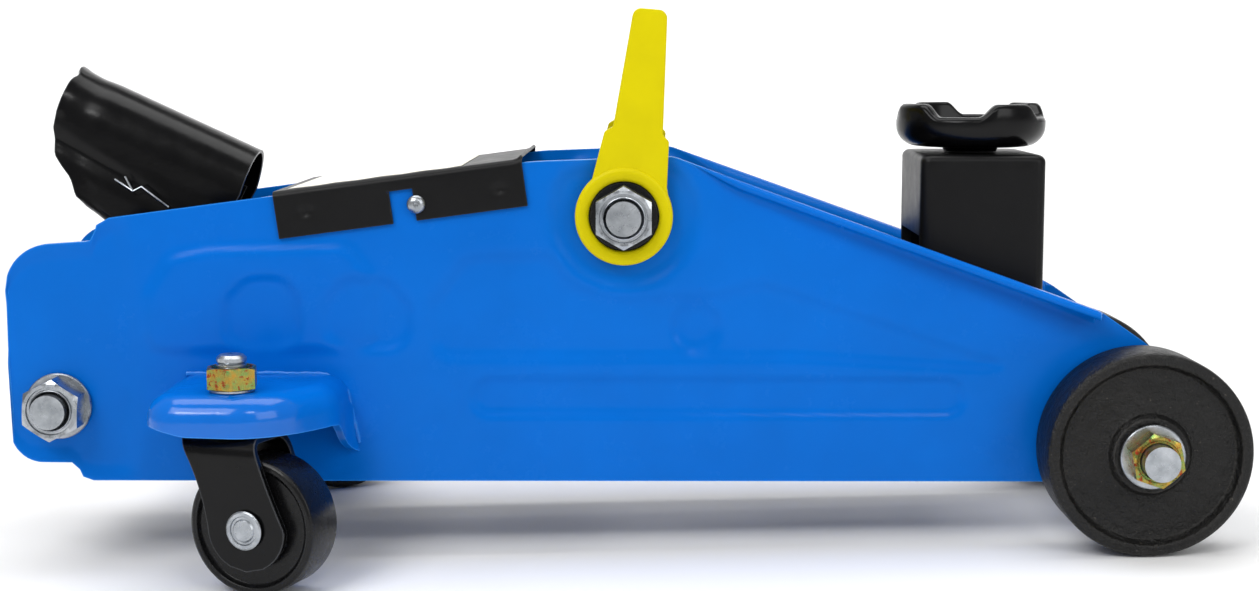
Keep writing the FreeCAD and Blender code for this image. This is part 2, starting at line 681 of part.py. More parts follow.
def caster_wheel(name):
    body = new_body(name)
    rod(body, "Y", "-roller_wide / 2", "roller_wide", "caster_trail", "caster_low", "roller_rad")
    for low in ("-roller_wide / 2", "roller_wide / 2 - 1.5"):
        rod(body, "Y", low, "1.5", "caster_trail", "caster_low", "roller_rad - 3", cut=True)
    rod(body, "Y", "-roller_wide / 2", "roller_wide", "caster_trail", "caster_low", "8")
    rod(body, "Y", "-roller_wide / 2", "roller_wide", "caster_trail", "caster_low",
        "4 + run_clear", cut=True)
    return body


def caster_axle(name):
    body = new_body(name)
    outer = FORK_IN + " + fork_wall"
    rod(body, "Y", "-(%s)" % outer, "2 * (%s)" % outer, "caster_trail", "caster_low", "4")
    rod(body, "Y", outer, "1.4", "caster_trail", "caster_low", "6.5")
    rod(body, "Y", "-(%s) - 1.4" % outer, "1.4", "caster_trail", "caster_low", "6.5")
    return body


# --- hydraulic unit ----------------------------------------------------------------------

PLUNGER_X = "(socket_x - crank_rad * (1 + cos(crank_dip)) / 2)"
PUMP_PIN_X = "(socket_x - crank_rad * cos(crank_dip))"
PUMP_PIN_Z = "(socket_z - crank_rad * sin(crank_dip))"


def pump_base():
    """The cast body of the hydraulic unit, held by the rear tie bolt and carrying two ears."""
    body = new_body("pump_base")
    box(body, ("base_rear", "-base_half", "ram_z - 12"), ("base_front", "base_half", "base_top"))
    box(body, ("base_rear + 14", "-base_half", "base_low"),
        ("base_front", "base_half", "ram_z - 12"))
    rod(body, "Y", "-plate_gap / 2", "plate_gap", "tie_x", "tie_z", "lug_rad")
    box(body, ("tie_x", "-base_half", "tie_z - lug_rad + 2"),
        ("base_rear + 14", "base_half", "ram_z - 12"))
    for side in (-1, 1):
        low, high = span(side, "ear_in", "ear_in + ear_wall")
        ear = [
            ("socket_x - ear_rad", "base_top - 1"),
            ("socket_x + ear_rad", "base_top - 1"),
            ("socket_x + ear_rad", "socket_z"),
            ("socket_x - ear_rad", "socket_z"),
        ]
        slab(body, "Y", ear, low, high)
        rod(body, "Y", low, "ear_wall", "socket_x", "socket_z", "ear_rad")
    rod(body, "Y", "-base_half", "2 * base_half", "socket_x", "socket_z",
        "socket_pin_rad + bolt_clear", cut=True)
    rod(body, "Y", "-plate_gap / 2", "plate_gap", "tie_x", "tie_z",
        "big_bolt_rad + bolt_clear", cut=True)
    rod(body, "Z", "ram_z - 12", "base_top - ram_z + 12", PLUNGER_X, "0",
        "plunger_rad + run_clear", cut=True)
    rod(body, "X", "base_rear", "5.5", "0", "ram_z", "4 + run_clear", cut=True)
    return body


def pump_cylinder():
    body = new_body("pump_cylinder")
    hexagon(body, "Z", "base_top", "5", PLUNGER_X, "0", "2 * pump_rad")
    rod(body, "Z", "base_top + 5", "pump_top - base_top - 5", PLUNGER_X, "0", "pump_rad - 1.5")
    rod(body, "Z", "base_top", "pump_top - base_top", PLUNGER_X, "0",
        "plunger_rad + run_clear", cut=True)
    return body


def pump_plunger():
    """The plunger, with a cross slot in its head that the socket's pump pin works in."""
    body = new_body("pump_plunger")
    rod(body, "Z", "ram_z - 8", "%s + 7 - ram_z + 8" % PUMP_PIN_Z, PLUNGER_X, "0", "plunger_rad")
    box(body, (PLUNGER_X + " - 9", "-cheek_in + 4", PUMP_PIN_Z + " - 6.5"),
        (PLUNGER_X + " + 9", "cheek_in - 4", PUMP_PIN_Z + " + 7"))
    reach = "crank_rad * (1 - cos(crank_dip)) / 2 + pump_pin_rad + 0.3"
    box(body, ("%s - (%s)" % (PLUNGER_X, reach), "-cheek_in", PUMP_PIN_Z + " - pump_pin_rad - 0.3"),
        ("%s + (%s)" % (PLUNGER_X, reach), "cheek_in", PUMP_PIN_Z + " + pump_pin_rad + 0.3"),
        cut=True)
    return body


def release_valve():
    body = new_body("release_valve_screw")
    rod(body, "X", "base_rear", "5", "0", "ram_z", "4")
    rod(body, "X", "base_rear - 6", "6", "0", "ram_z", "3.2")
    rod(body, "X", "base_rear - 14", "8", "0", "ram_z", "6.5")
    box(body, ("base_rear - 15", "-8", "ram_z - 1.2"), ("base_rear - 11", "8", "ram_z + 1.2"),
        cut=True)
    return body


def reservoir_parts():
    length = "tank_front - base_front"
    tank = new_body("reservoir_tube")
    rod(tank, "X", "base_front", length, "0", "ram_z", "tank_rad")
    rod(tank, "X", "base_front", length, "0", "ram_z", "tank_rad - tank_wall", cut=True)
    rod(tank, "Z", "ram_z + tank_rad - 6", "8", "base_front + 26", "0", "5 + bolt_clear",
        cut=True)
    barrel = new_body("ram_cylinder")
    rod(barrel, "X", "base_front", length, "0", "ram_z", "barrel_rad")
    rod(barrel, "X", "base_front", length, "0", "ram_z", "bore_rad", cut=True)
    gland = new_body("gland_nut")
    hexagon(gland, "X", "tank_front", "gland_long - 4", "0", "ram_z", "2 * (tank_rad - 1) * cos(30)")
    rod(gland, "X", "tank_front + gland_long - 4", "4", "0", "ram_z", "tank_rad - 6")
    rod(gland, "X", "tank_front", "gland_long", "0", "ram_z", "ram_rad + run_clear", cut=True)
    plug = new_body("filler_plug")
    rod(plug, "Z", "ram_z + tank_rad - tank_wall - 1", "tank_wall + 1", "base_front + 26", "0",
        "5")
    rod(plug, "Z", "ram_z + tank_rad", "2.5", "base_front + 26", "0", "7")
    return [tank, barrel, gland, plug]


RAM_PIN_X = "(pivot_x - lever_back)"
RAM_PIN_Z = "(pivot_z - lever_drop)"
RAM_FACE = "(pivot_x - lever_back - ram_bush_rad - ram_gap)"


def ram_parts():
    rear = "base_front + 2"
    piston = new_body("ram_piston")
    rod(piston, "X", rear, "piston_long", "0", "ram_z", "bore_rad - run_clear")
    stem = new_body("ram_rod")
    rod(stem, "X", rear + " + piston_long", "%s - ram_head_long - (%s) - piston_long"
        % (RAM_FACE, rear), "0", "ram_z", "ram_rad")
    head = new_body("ram_head")
    rod(head, "X", RAM_FACE + " - ram_head_long", "ram_head_long", "0", "ram_z", "ram_head_rad")
    return [piston, stem, head]


# --- lift arm, saddle and radius rods -----------------------------------------------------

def lift_arm():
    """Two cheeks on a boss tube, with a web between them and a lever down to the ram pin."""
    body = new_body("lift_arm")
    beam = [
        ("pivot_x - arm_hub_rad / 2", "pivot_z + arm_hub_rad * 0.8"),
        ("pivot_x - arm_hub_rad", "pivot_z"),
        (RAM_PIN_X + " - lever_rad", RAM_PIN_Z + " + 2"),
        (RAM_PIN_X + " + lever_rad * 0.5", RAM_PIN_Z + " - lever_rad * 0.8"),
        ("pivot_x + 12", "pivot_z - 24"),
        ("saddle_x - 4", "saddle_z - arm_nose_rad + 1"),
        ("saddle_x + 4", "saddle_z + arm_nose_rad - 1"),
        ("pivot_x + arm_hub_rad / 2", "pivot_z + arm_hub_rad * 0.8"),
    ]
    for side in (-1, 1):
        low, high = span(side, "arm_out - arm_wall", "arm_out")
        slab(body, "Y", beam, low, high)
        rod(body, "Y", low, "arm_wall", "pivot_x", "pivot_z", "arm_hub_rad")
        rod(body, "Y", low, "arm_wall", RAM_PIN_X, RAM_PIN_Z, "lever_rad")
        rod(body, "Y", low, "arm_wall", "saddle_x", "saddle_z", "arm_nose_rad")
    web = [
        ("pivot_x + 14", "pivot_z - 4"),
        ("pivot_x + 14", "pivot_z - 10"),
        ("saddle_x - 30", "saddle_z + 4"),
        ("saddle_x - 30", "saddle_z + 10"),
    ]
    slab(body, "Y", web, "-arm_out + arm_wall", "arm_out - arm_wall")
    rod(body, "Y", "-plate_gap / 2 + 2", "plate_gap - 4", "pivot_x", "pivot_z", "pivot_rad + 4")
    rod(body, "Y", "-plate_gap / 2", "plate_gap", "pivot_x", "pivot_z", "pivot_rad + run_clear",
        cut=True)
    rod(body, "Y", "-arm_out", "2 * arm_out", RAM_PIN_X, RAM_PIN_Z, "ram_pin_rad + bolt_clear",
        cut=True)
    rod(body, "Y", "-arm_out", "2 * arm_out", "saddle_x", "saddle_z",
        "saddle_pin_rad + run_clear", cut=True)
    return body


def ram_pin_parts():
    pin = new_body("ram_pin")
    rod(pin, "Y", "-plate_gap / 2 + 3", "plate_gap - 6", RAM_PIN_X, RAM_PIN_Z, "ram_pin_rad")
    bush = new_body("ram_bush")
    half = "(arm_out - arm_wall - 0.5)"
    rod(bush, "Y", "-" + half, "2 * " + half, RAM_PIN_X, RAM_PIN_Z, "ram_bush_rad")
    rod(bush, "Y", "-" + half, "2 * " + half, RAM_PIN_X, RAM_PIN_Z, "ram_pin_rad + bolt_clear",
        cut=True)
    return [pin, bush]


LINK_X = "(saddle_x + rod_ahead)"
LINK_Z = "(saddle_z - rod_under)"


def saddle_bracket():
    """A folded box, open below and low down at the rear, over the end of the lift arm."""
    body = new_body("saddle_bracket")
    wall = [
        (BLOCK_REAR, "block_top"),
        (BLOCK_FRONT, "block_top"),
        (BLOCK_FRONT, "saddle_z - 4"),
        (LINK_X + " + 10", LINK_Z + " - 9"),
        (LINK_X + " - 9", LINK_Z + " - 9"),
        (BLOCK_REAR, "saddle_z - 6"),
    ]
    slab(body, "Y", wall, "-block_half", "block_half", {"8": [3, 4], "5": [2, 5]})
    inner = "block_half - block_wall"
    box(body, (BLOCK_REAR + " + block_wall", "-(%s)" % inner, LINK_Z + " - 20"),
        (BLOCK_FRONT + " - block_wall", inner, "block_top - block_wall"), cut=True)
    box(body, (BLOCK_REAR + " - 1", "-(%s)" % inner, LINK_Z + " - 20"),
        (BLOCK_REAR + " + block_wall + 1", inner, "rear_lip"), cut=True)
    box(body, (BLOCK_FRONT + " - block_wall", "-(%s)" % inner, LINK_Z + " - 20"),
        (BLOCK_FRONT + " + 1", inner, "saddle_z + 14"), cut=True)
    rod(body, "Y", "-block_half", "2 * block_half", "saddle_x", "saddle_z",
        "saddle_pin_rad + bolt_clear", cut=True)
    rod(body, "Y", "-block_half", "2 * block_half", LINK_X, LINK_Z, "rod_pin_rad + bolt_clear",
        cut=True)
    rod(body, "Z", "block_top - block_wall", "block_wall", CUP_X, "0", "stem_rad + run_clear",
        cut=True)
    return body


def bracket_pins():
    pin = new_body("saddle_pin")
    rod(pin, "Y", "-block_half", "2 * block_half", "saddle_x", "saddle_z", "saddle_pin_rad")
    link = new_body("radius_link_pin")
    reach = "(rod_in + rod_wall + 1)"
    rod(link, "Y", "-" + reach, "2 * " + reach, LINK_X, LINK_Z, "rod_pin_rad")
    return [pin, link]


def radius_rods():
    """One flat bar each side, parallel to the lift arm, that keeps the saddle level."""
    body = new_body("radius_rods")
    run = "sqrt((saddle_x - pivot_x)^2 + (pivot_z - saddle_z)^2)"
    lean_x = "((pivot_z - saddle_z) / %s * rod_end_rad)" % run
    lean_z = "((saddle_x - pivot_x) / %s * rod_end_rad)" % run
    rear = ("(pivot_x + rod_ahead)", "(pivot_z - rod_under)")
    front = (LINK_X, LINK_Z)
    bar = [
        ("%s + %s" % (rear[0], lean_x), "%s + %s" % (rear[1], lean_z)),
        ("%s + %s" % (front[0], lean_x), "%s + %s" % (front[1], lean_z)),
        ("%s - %s" % (front[0], lean_x), "%s - %s" % (front[1], lean_z)),
        ("%s - %s" % (rear[0], lean_x), "%s - %s" % (rear[1], lean_z)),
    ]
    holes = ((rear, "rod_pin_rad + run_clear"), (front, "rod_pin_rad + 0.3"))
    for side in (-1, 1):
        low, high = span(side, "rod_in", "rod_in + rod_wall")
        slab(body, "Y", bar, low, high)
        for (x, z), _ in holes:
            rod(body, "Y", low, "rod_wall", x, z, "rod_end_rad")
    for (x, z), radius in holes:
        rod(body, "Y", "-plate_gap / 2", "plate_gap", x, z, radius, cut=True)
    return body


def saddle():
    """A cast cup with four teeth, turning on its stem. Drawn about the stem's axis."""
    body = new_body("saddle")
    cup = rod(body, "Z", "cup_low", "cup_top - cup_low", "0", "0", "cup_rad")
    DOC.recompute()
    rims = [
        "Edge%d" % number
        for number, edge in enumerate(cup.Shape.Edges, 1)
        if isinstance(edge.Curve, Part.Circle) and edge.Curve.Center.z < num("cup_low") + 1
    ]
    lower = body.newObject("PartDesign::Fillet", "lower_edge")
    lower.Base = (cup, rims)
    lower.setExpression("Radius", sized("cup_round"))
    rod(body, "Z", "block_top + 0.3", "cup_low - block_top", "0", "0", "stem_rad + 1.5")
    rod(body, "Z", "block_top - 12", "14", "0", "0", "stem_rad")
    rod(body, "Z", "cup_floor", "cup_top - cup_floor", "0", "0", "cup_rad - cup_wall", cut=True)
    gap = box(body, ("0", "-tooth_gap / 2", "cup_top - tooth_tall"),
              ("cup_rad + 1", "tooth_gap / 2", "cup_top + 1"), cut=True)
    DOC.recompute()
    gaps = body.newObject("PartDesign::PolarPattern", "gaps")
    gaps.Originals = [gap]
    gaps.Occurrences = 4
    gaps.Angle = 360
    gaps.Axis = ([f for f in body.Origin.OriginFeatures if f.Role == "Z_Axis"][0], [""])
    body.Tip = gaps
    return body


def saddle_clip():
    body = new_body("saddle_retaining_ring")
    top = "block_top - block_wall - 0.4"
    rod(body, "Z", top + " - 1.6", "1.6", CUP_X, "0", "stem_rad + 3")
    rod(body, "Z", top + " - 1.6", "1.6", CUP_X, "0", "stem_rad", cut=True)
    return body


# --- handle socket and carry handle --------------------------------------------------------

def tube_point(ahead, above):
    """Chassis coordinates of a point given along and square to the socket tube, from its pivot."""
    x = "(socket_x + (%s) * cos(tube_rise) + (%s) * sin(tube_rise))" % (ahead, above)
    z = "(socket_z - (%s) * sin(tube_rise) + (%s) * cos(tube_rise))" % (ahead, above)
    return x, z


def tube_solid(body, radius, ahead, length, cut):
    kind = "PartDesign::SubtractiveCylinder" if cut else "PartDesign::AdditiveCylinder"
    feature = body.newObject(kind, "tube")
    feature.AttachmentSupport = [(origin_plane(body, "Z"), "")]
    feature.MapMode = "FlatFace"
    feature.AttachmentOffset = FreeCAD.Placement(V(), FreeCAD.Rotation(V(0, -1, 0), 65.1))
    x, z = tube_point(ahead, "tube_lift")
    feature.setExpression("AttachmentOffset.Base.x", sized(x))
    feature.setExpression("AttachmentOffset.Base.z", sized(z))
    feature.setExpression("AttachmentOffset.Rotation.Angle", sized("90 - tube_rise"))
    feature.setExpression("Radius", sized(radius))
    feature.setExpression("Height", sized(length))
    return feature


def handle_socket():
    """A rolled tube for the handle, with two cheeks down to its pivot and the pump pin."""
    body = new_body("handle_socket")
    tube_solid(body, "tube_rad", "tube_ahead", "tube_long", False)
    cheek = [
        tube_point("tube_ahead", "tube_lift + 6"),
        tube_point("tube_ahead - tube_long + 1", "tube_lift + 6"),
        tube_point("tube_ahead - tube_long + 1", "tube_lift - tube_rad"),
        ("%s - 9" % PUMP_PIN_X, "%s + 14" % PUMP_PIN_Z),
        ("%s - 8" % PUMP_PIN_X, "%s - 4" % PUMP_PIN_Z),
        ("%s + 3" % PUMP_PIN_X, "%s - 8" % PUMP_PIN_Z),
        ("socket_x + 2", "socket_z - 10"),
        ("socket_x + 11", "socket_z"),
        tube_point("tube_ahead", "tube_lift - tube_rad + 2"),
    ]
    for side in (-1, 1):
        low, high = span(side, "cheek_in", "cheek_in + cheek_wall")
        slab(body, "Y", cheek, low, high, {"3": [3, 4, 5, 6, 7]})
    tube_solid(body, "tube_bore", "tube_ahead + 1", "tube_long + 2", True)
    half = "(cheek_in + cheek_wall + 0.1)"
    rod(body, "Y", "-" + half, "2 * " + half, "socket_x", "socket_z",
        "socket_pin_rad + run_clear", cut=True)
    rod(body, "Y", "-" + half, "2 * " + half, PUMP_PIN_X, PUMP_PIN_Z,
        "pump_pin_rad + bolt_clear", cut=True)
    return body


def socket_pins():
    pivot = new_body("socket_pivot_pin")
    reach = "(ear_in + ear_wall + 3)"
    rod(pivot, "Y", "-" + reach, "2 * " + reach, "socket_x", "socket_z", "socket_pin_rad")
    clips = new_body("socket_pin_clips")
    for side in (-1, 1):
        ring(clips, side, "ear_in + ear_wall + 0.2", "ear_in + ear_wall + 1.4", "socket_x",
             "socket_z", "8", "socket_pin_rad")
    pump_pin = new_body("pump_pin")
    half = "(cheek_in + cheek_wall + 0.6)"
    rod(pump_pin, "Y", "-" + half, "2 * " + half, PUMP_PIN_X, PUMP_PIN_Z, "pump_pin_rad")
    return [pivot, clips, pump_pin]


def carry_handle():
    """A moulded bail: a ring round each shoulder washer, a leg each side and a grip across."""
    body = new_body("carry_handle")
    leg = [
        ("pivot_x - 11.5", "pivot_z + 9"),
        ("pivot_x - 6.6", "pivot_z + 29.5"),
        ("pivot_x - 3.7", "pivot_z + 30.8"),
        ("pivot_x + 3.4", "pivot_z + grip_tall"),
        ("pivot_x + 14.9", "pivot_z + grip_tall - 1"),
        ("pivot_x + 13.3", "pivot_z + 27.8"),
        ("pivot_x + 15.4", "pivot_z + 25.7"),
        ("pivot_x + 13.5", "pivot_z + 6"),
    ]
    near = "(%s + 0.3)" % PLATE_OUT
    ring_out = "(%s + 0.3 + ring_wall)" % PLATE_OUT
    for side in (-1, 1):
        low, high = span(side, near, ring_out)
        slab(body, "Y", leg, low, high)
        rod(body, "Y", low, "ring_wall", "pivot_x", "pivot_z", "ring_rad")
    grip = [
        ("pivot_x + 0.4", "pivot_z + grip_tall - 17"),
        ("pivot_x + 3.4", "pivot_z + grip_tall"),
        ("pivot_x + 14.9", "pivot_z + grip_tall - 1"),
        ("pivot_x + 14.2", "pivot_z + grip_tall - 17.5"),
    ]
    slab(body, "Y", grip, "-" + near, near)
    rod(body, "Y", "-60", "120", "pivot_x", "pivot_z", "boss_rad + run_clear", cut=True)
    return body


# --- springs -------------------------------------------------------------------------------

def return_springs():
    """Two extension springs from the pump base to the ram pin, close coiled when lowered."""
    wire_rad = 0.8
    pitch = 3.2
    to_plate = 1.2
    to_tank = 0.6
    room = num("plate_gap") / 2 - num("tank_rad") - to_plate - to_tank
    coil_rad = min(4.0, room / 2 - wire_rad)
    start = num("base_front") + 1.0
    end = num("pivot_x") - num("lever_back") - num("ram_pin_rad") - 2.0
    height = num("pivot_z") - num("lever_drop")
    offset = num("plate_gap") / 2 - coil_rad - wire_rad - to_plate
    solids = []
    for side in (-1, 1):
        helix = Part.makeHelix(pitch, end - start, coil_rad)
        circle = Part.Circle(V(coil_rad, 0, 0), V(0, 1, 0), wire_rad).toShape()
        pipe = Part.Wire(helix.Edges).makePipeShell([Part.Wire([circle])], True, True)
        pipe.Placement = FreeCAD.Placement(
            V(start, side * offset, height), FreeCAD.Rotation(V(0, 1, 0), 90)
        )
        solids.append(pipe)
    feature = DOC.addObject("Part::Feature", "return_springs")
    feature.Label = "return_springs"
    feature.Shape = Part.makeCompound(solids)
    return feature


# --- assembly --------------------------------------------------------------------------------

def stance_angle():
    """Nose-down pitch, in degrees, that stands both pairs of wheels on one floor."""
    reach = num("axle_x") - num("caster_x") - caster_reach()
    rise = num("axle_z") - num("caster_low")
    line = math.atan2(rise, reach)
    wedge = math.asin((num("wheel_rad") - num("roller_rad")) / math.hypot(reach, rise))
    return math.degrees(line - wedge)


def caster_reach():
    return num("caster_trail") * math.cos(math.radians(num("caster_turn")))


def caster_out():
    return num("plate_gap") / 2 + num("plate_wall") + num("caster_off")


def build():
    fill_sheet()
    fixed = [
        side_plate("side_plate_right", -1),
        side_plate("side_plate_left", 1),
        top_cover(),
        cover_screws(),
        front_axle_spacer(),
        frame_pins(),
        front_wheel("front_wheel_right", -1),
        front_wheel("front_wheel_left", 1),
        caster_bracket("caster_bracket_right", -1),
        caster_bracket("caster_bracket_left", 1),
        pump_base(),
        pump_cylinder(),
        pump_plunger(),
        release_valve(),
        lift_arm(),
        saddle_bracket(),
        radius_rods(),
        saddle_clip(),
        handle_socket(),
        carry_handle(),
        return_springs(),
    ]
    fixed += shafts_and_nuts() + reservoir_parts() + ram_parts() + ram_pin_parts()
    fixed += bracket_pins() + socket_pins()
    fixed += caster_hardware("right", -1) + caster_hardware("left", 1)
    turned = FreeCAD.Rotation(V(0, 0, 1), num("saddle_turn"))
    swivelled = [(saddle(), FreeCAD.Placement(V(num("saddle_x") + num("cup_ahead"), 0, 0), turned))]
    for side_name, side in (("right", -1), ("left", 1)):
        turn = FreeCAD.Rotation(V(0, 0, 1), side * num("caster_turn"))
        stem = FreeCAD.Placement(V(num("caster_x"), side * caster_out(), 0), turn)
        for part in (caster_fork("caster_fork_" + side_name),
                     caster_wheel("caster_wheel_" + side_name),
                     caster_axle("caster_axle_" + side_name)):
            swivelled.append((part, stem))
    DOC.recompute()
    return [(part, FreeCAD.Placement()) for part in fixed] + swivelled


def stand_on_floor(parts):
    """Pitch everything to the stance angle, then put the origin at the box's bottom centre."""
    pitch = FreeCAD.Rotation(V(0, 1, 0), stance_angle())
    tilt = FreeCAD.Placement(V(), pitch)
    for part, own in parts:
        part.Placement = tilt.multiply(own)
    DOC.recompute()
    box_around = FreeCAD.BoundBox()
    for part, _ in parts:
        box_around.add(part.Shape.optimalBoundingBox(True, False))
    centre = box_around.Center
    shift = FreeCAD.Placement(V(-centre.x, -centre.y, -box_around.ZMin), FreeCAD.Rotation())
    for part, _ in parts:
        part.Placement = shift.multiply(part.Placement)
    DOC.recompute()
    return shift.multiply(tilt)


def check(parts):
    faults = [
        "%s in %s: %s" % (item.Name, [owner.Name for owner in item.InList], item.State)
        for item in DOC.Objects
        if "Invalid" in item.State or "Error" in item.State
    ]
    for part, _ in parts:
        shape = part.Shape
        if shape.isNull() or not shape.isValid() or not shape.Solids:
            faults.append("%s has no valid solid" % part.Label)
    if faults:
        raise RuntimeError("; ".join(faults))


def main():
    parts = build()
    stance = stand_on_floor(parts)
    check(parts)
    os.makedirs("parts", exist_ok=True)
    for part, _ in parts:
        part.Shape.exportStep("parts/%s.step" % part.Label)
    print("pitch %.4f degrees" % stance_angle())
    print("chassis origin at %.4f %.4f %.4f" % tuple(stance.Base))
    print("%d sub-parts" % len(parts))


main()
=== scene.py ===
import json
import math

import bmesh
import bpy
import numpy as np
from mathutils import Matrix, Vector


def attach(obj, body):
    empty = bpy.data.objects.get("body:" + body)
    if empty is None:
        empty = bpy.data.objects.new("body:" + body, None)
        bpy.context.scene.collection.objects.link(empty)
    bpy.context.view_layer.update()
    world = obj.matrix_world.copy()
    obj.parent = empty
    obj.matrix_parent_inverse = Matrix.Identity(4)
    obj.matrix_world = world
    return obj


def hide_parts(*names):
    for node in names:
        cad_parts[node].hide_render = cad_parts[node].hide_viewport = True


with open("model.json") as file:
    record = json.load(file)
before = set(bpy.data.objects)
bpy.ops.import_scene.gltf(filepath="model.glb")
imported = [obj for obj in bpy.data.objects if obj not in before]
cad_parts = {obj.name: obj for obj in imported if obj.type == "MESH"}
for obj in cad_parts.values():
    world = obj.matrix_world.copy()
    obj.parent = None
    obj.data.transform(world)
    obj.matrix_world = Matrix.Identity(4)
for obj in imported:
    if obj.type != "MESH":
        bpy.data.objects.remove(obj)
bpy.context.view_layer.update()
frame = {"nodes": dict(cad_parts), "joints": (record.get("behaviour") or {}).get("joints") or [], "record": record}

bl_info = {
    "name": "Trolley jack",
    "version": (1, 0, 0),
    "blender": (4, 5, 0),
    "location": "3D View > Sidebar > Trolley jack",
    "description": "Builds the looks of a hydraulic trolley jack around its CAD frame",
    "category": "Object",
}

# Pieces are drawn in chassis millimetres: X forward, Y to the left, Z up from the lower edge
# of the side plates. CHASSIS takes that to the frame's own metres.
JOINTS = {joint["name"]: joint for joint in frame["joints"]}
TURN = Matrix((Vector(JOINTS["ram_slide"]["axis"]), Vector((0, 1, 0)),
               Vector(JOINTS["plunger_slide"]["axis"]))).transposed()
PIVOT = (-1.9, 93.6)
LIFT_POINT = Vector(JOINTS["lift"]["pos_m"])
ORIGIN = LIFT_POINT - TURN @ Vector((PIVOT[0] / 1000, 0, PIVOT[1] / 1000))
CHASSIS = Matrix.Translation(ORIGIN) @ TURN.to_4x4() @ Matrix.Scale(0.001, 4)

PLATE_OUT = 43.0
PLATE_WALL = 3.0
NEAR, FAR = -1, 1
SIDES = ((NEAR, "right"), (FAR, "left"))


def linear(colour):
    """An sRGB hex colour as linear red, green, blue; a linear colour is passed through."""
    if not isinstance(colour, str):
        return tuple(colour)
    parts = [int(colour[i:i + 2], 16) / 255 for i in (1, 3, 5)]
    return tuple(c / 12.92 if c <= 0.04045 else ((c + 0.055) / 1.055) ** 2.4 for c in parts)


def length(label, text, default):
    """A length property in metres, from a default in millimetres."""
    return bpy.props.FloatProperty(name=label, description=text, default=default / 1000, min=0.0,
                                   subtype="DISTANCE", unit="LENGTH", precision=5)


def colour(label, text, default):
    """A colour property from an sRGB hex colour."""
    return bpy.props.FloatVectorProperty(name=label, description=text, default=linear(default),
                                         size=3, min=0.0, max=1.0, subtype="COLOR")


class JackColours(bpy.types.PropertyGroup):
    """Colours of the painted and moulded parts."""
    blue: colour("Plate blue", "Powder coat on the plates and brackets", "#0067C8")
    blue_shade: colour("Plate blue, deep", "Where the coat lies thicker", "#0061BE")
    black: colour("Enamel black", "Gloss enamel on the socket, forks and saddle", "#080809")
    yellow: colour("Handle yellow", "Moulding colour of the carry handle", "#D2C400")
    yellow_shade: colour("Handle yellow, deep", "Where the moulding is thicker", "#C8BA00")


class JackSizes(bpy.types.PropertyGroup):
    """Sizes of the drawn pieces."""
    plate_round: length("Plate edge", "Round on the cut edges of the side plates", 0.5)
    bracket_sheet: length("Bracket sheet", "Thickness of the caster brackets", 2.6)
    fork_sheet: length("Fork sheet", "Thickness of the caster forks", 2.3)
    cover_sheet: length("Cover sheet", "Thickness of the top cover", 1.1)
    socket_sheet: length("Socket sheet", "Thickness of the handle socket", 1.2)
    block_sheet: length("Saddle bracket sheet", "Thickness of the saddle bracket", 3.4)
    wire: length("Wire", "Radius of the wire beside the handle socket", 0.35)
    thread: length("Thread pitch", "Pitch of the threads on the bolt ends", 1.5)
    lens: bpy.props.FloatProperty(name="Lens", description="Focal length of the camera in mm",
                                  default=55.87, min=10.0, max=300.0)
    power: bpy.props.FloatProperty(name="Light", description="Strength of every lamp",
                                   default=1.0, min=0.0, max=10.0, subtype="FACTOR")


STEPS = ("finishes", "inner_parts", "side_plates", "caster_brackets", "fasteners",
         "front_wheels", "casters", "top_cover", "carry_handle", "handle_socket", "saddle",
         "saddle_bracket", "stage")


class JACK_PT_pieces(bpy.types.Panel):
    """Colours, sizes and one button for each group of pieces."""
    bl_idname = "JACK_PT_pieces"
    bl_label = "Trolley jack"
    bl_space_type = "VIEW_3D"
    bl_region_type = "UI"
    bl_category = "Trolley jack"

    def draw(self, context):
        for group in (context.scene.jack_colours, context.scene.jack_sizes):
            for name in group.__annotations__:
                self.layout.prop(group, name)
        for name in STEPS:
            self.layout.operator("jack." + name)


# --- materials -----------------------------------------------------------------------------------

def add(tree, kind, inputs=None, **settings):
    """A shader node with its settings, and its inputs set or linked."""
    node = tree.nodes.new("ShaderNode" + kind)
    for key, value in settings.items():
        setattr(node, key, value)
    for key, value in (inputs or {}).items():
        if isinstance(value, bpy.types.NodeSocket):
            tree.links.new(value, node.inputs[key])
        else:
            node.inputs[key].default_value = value
    return node


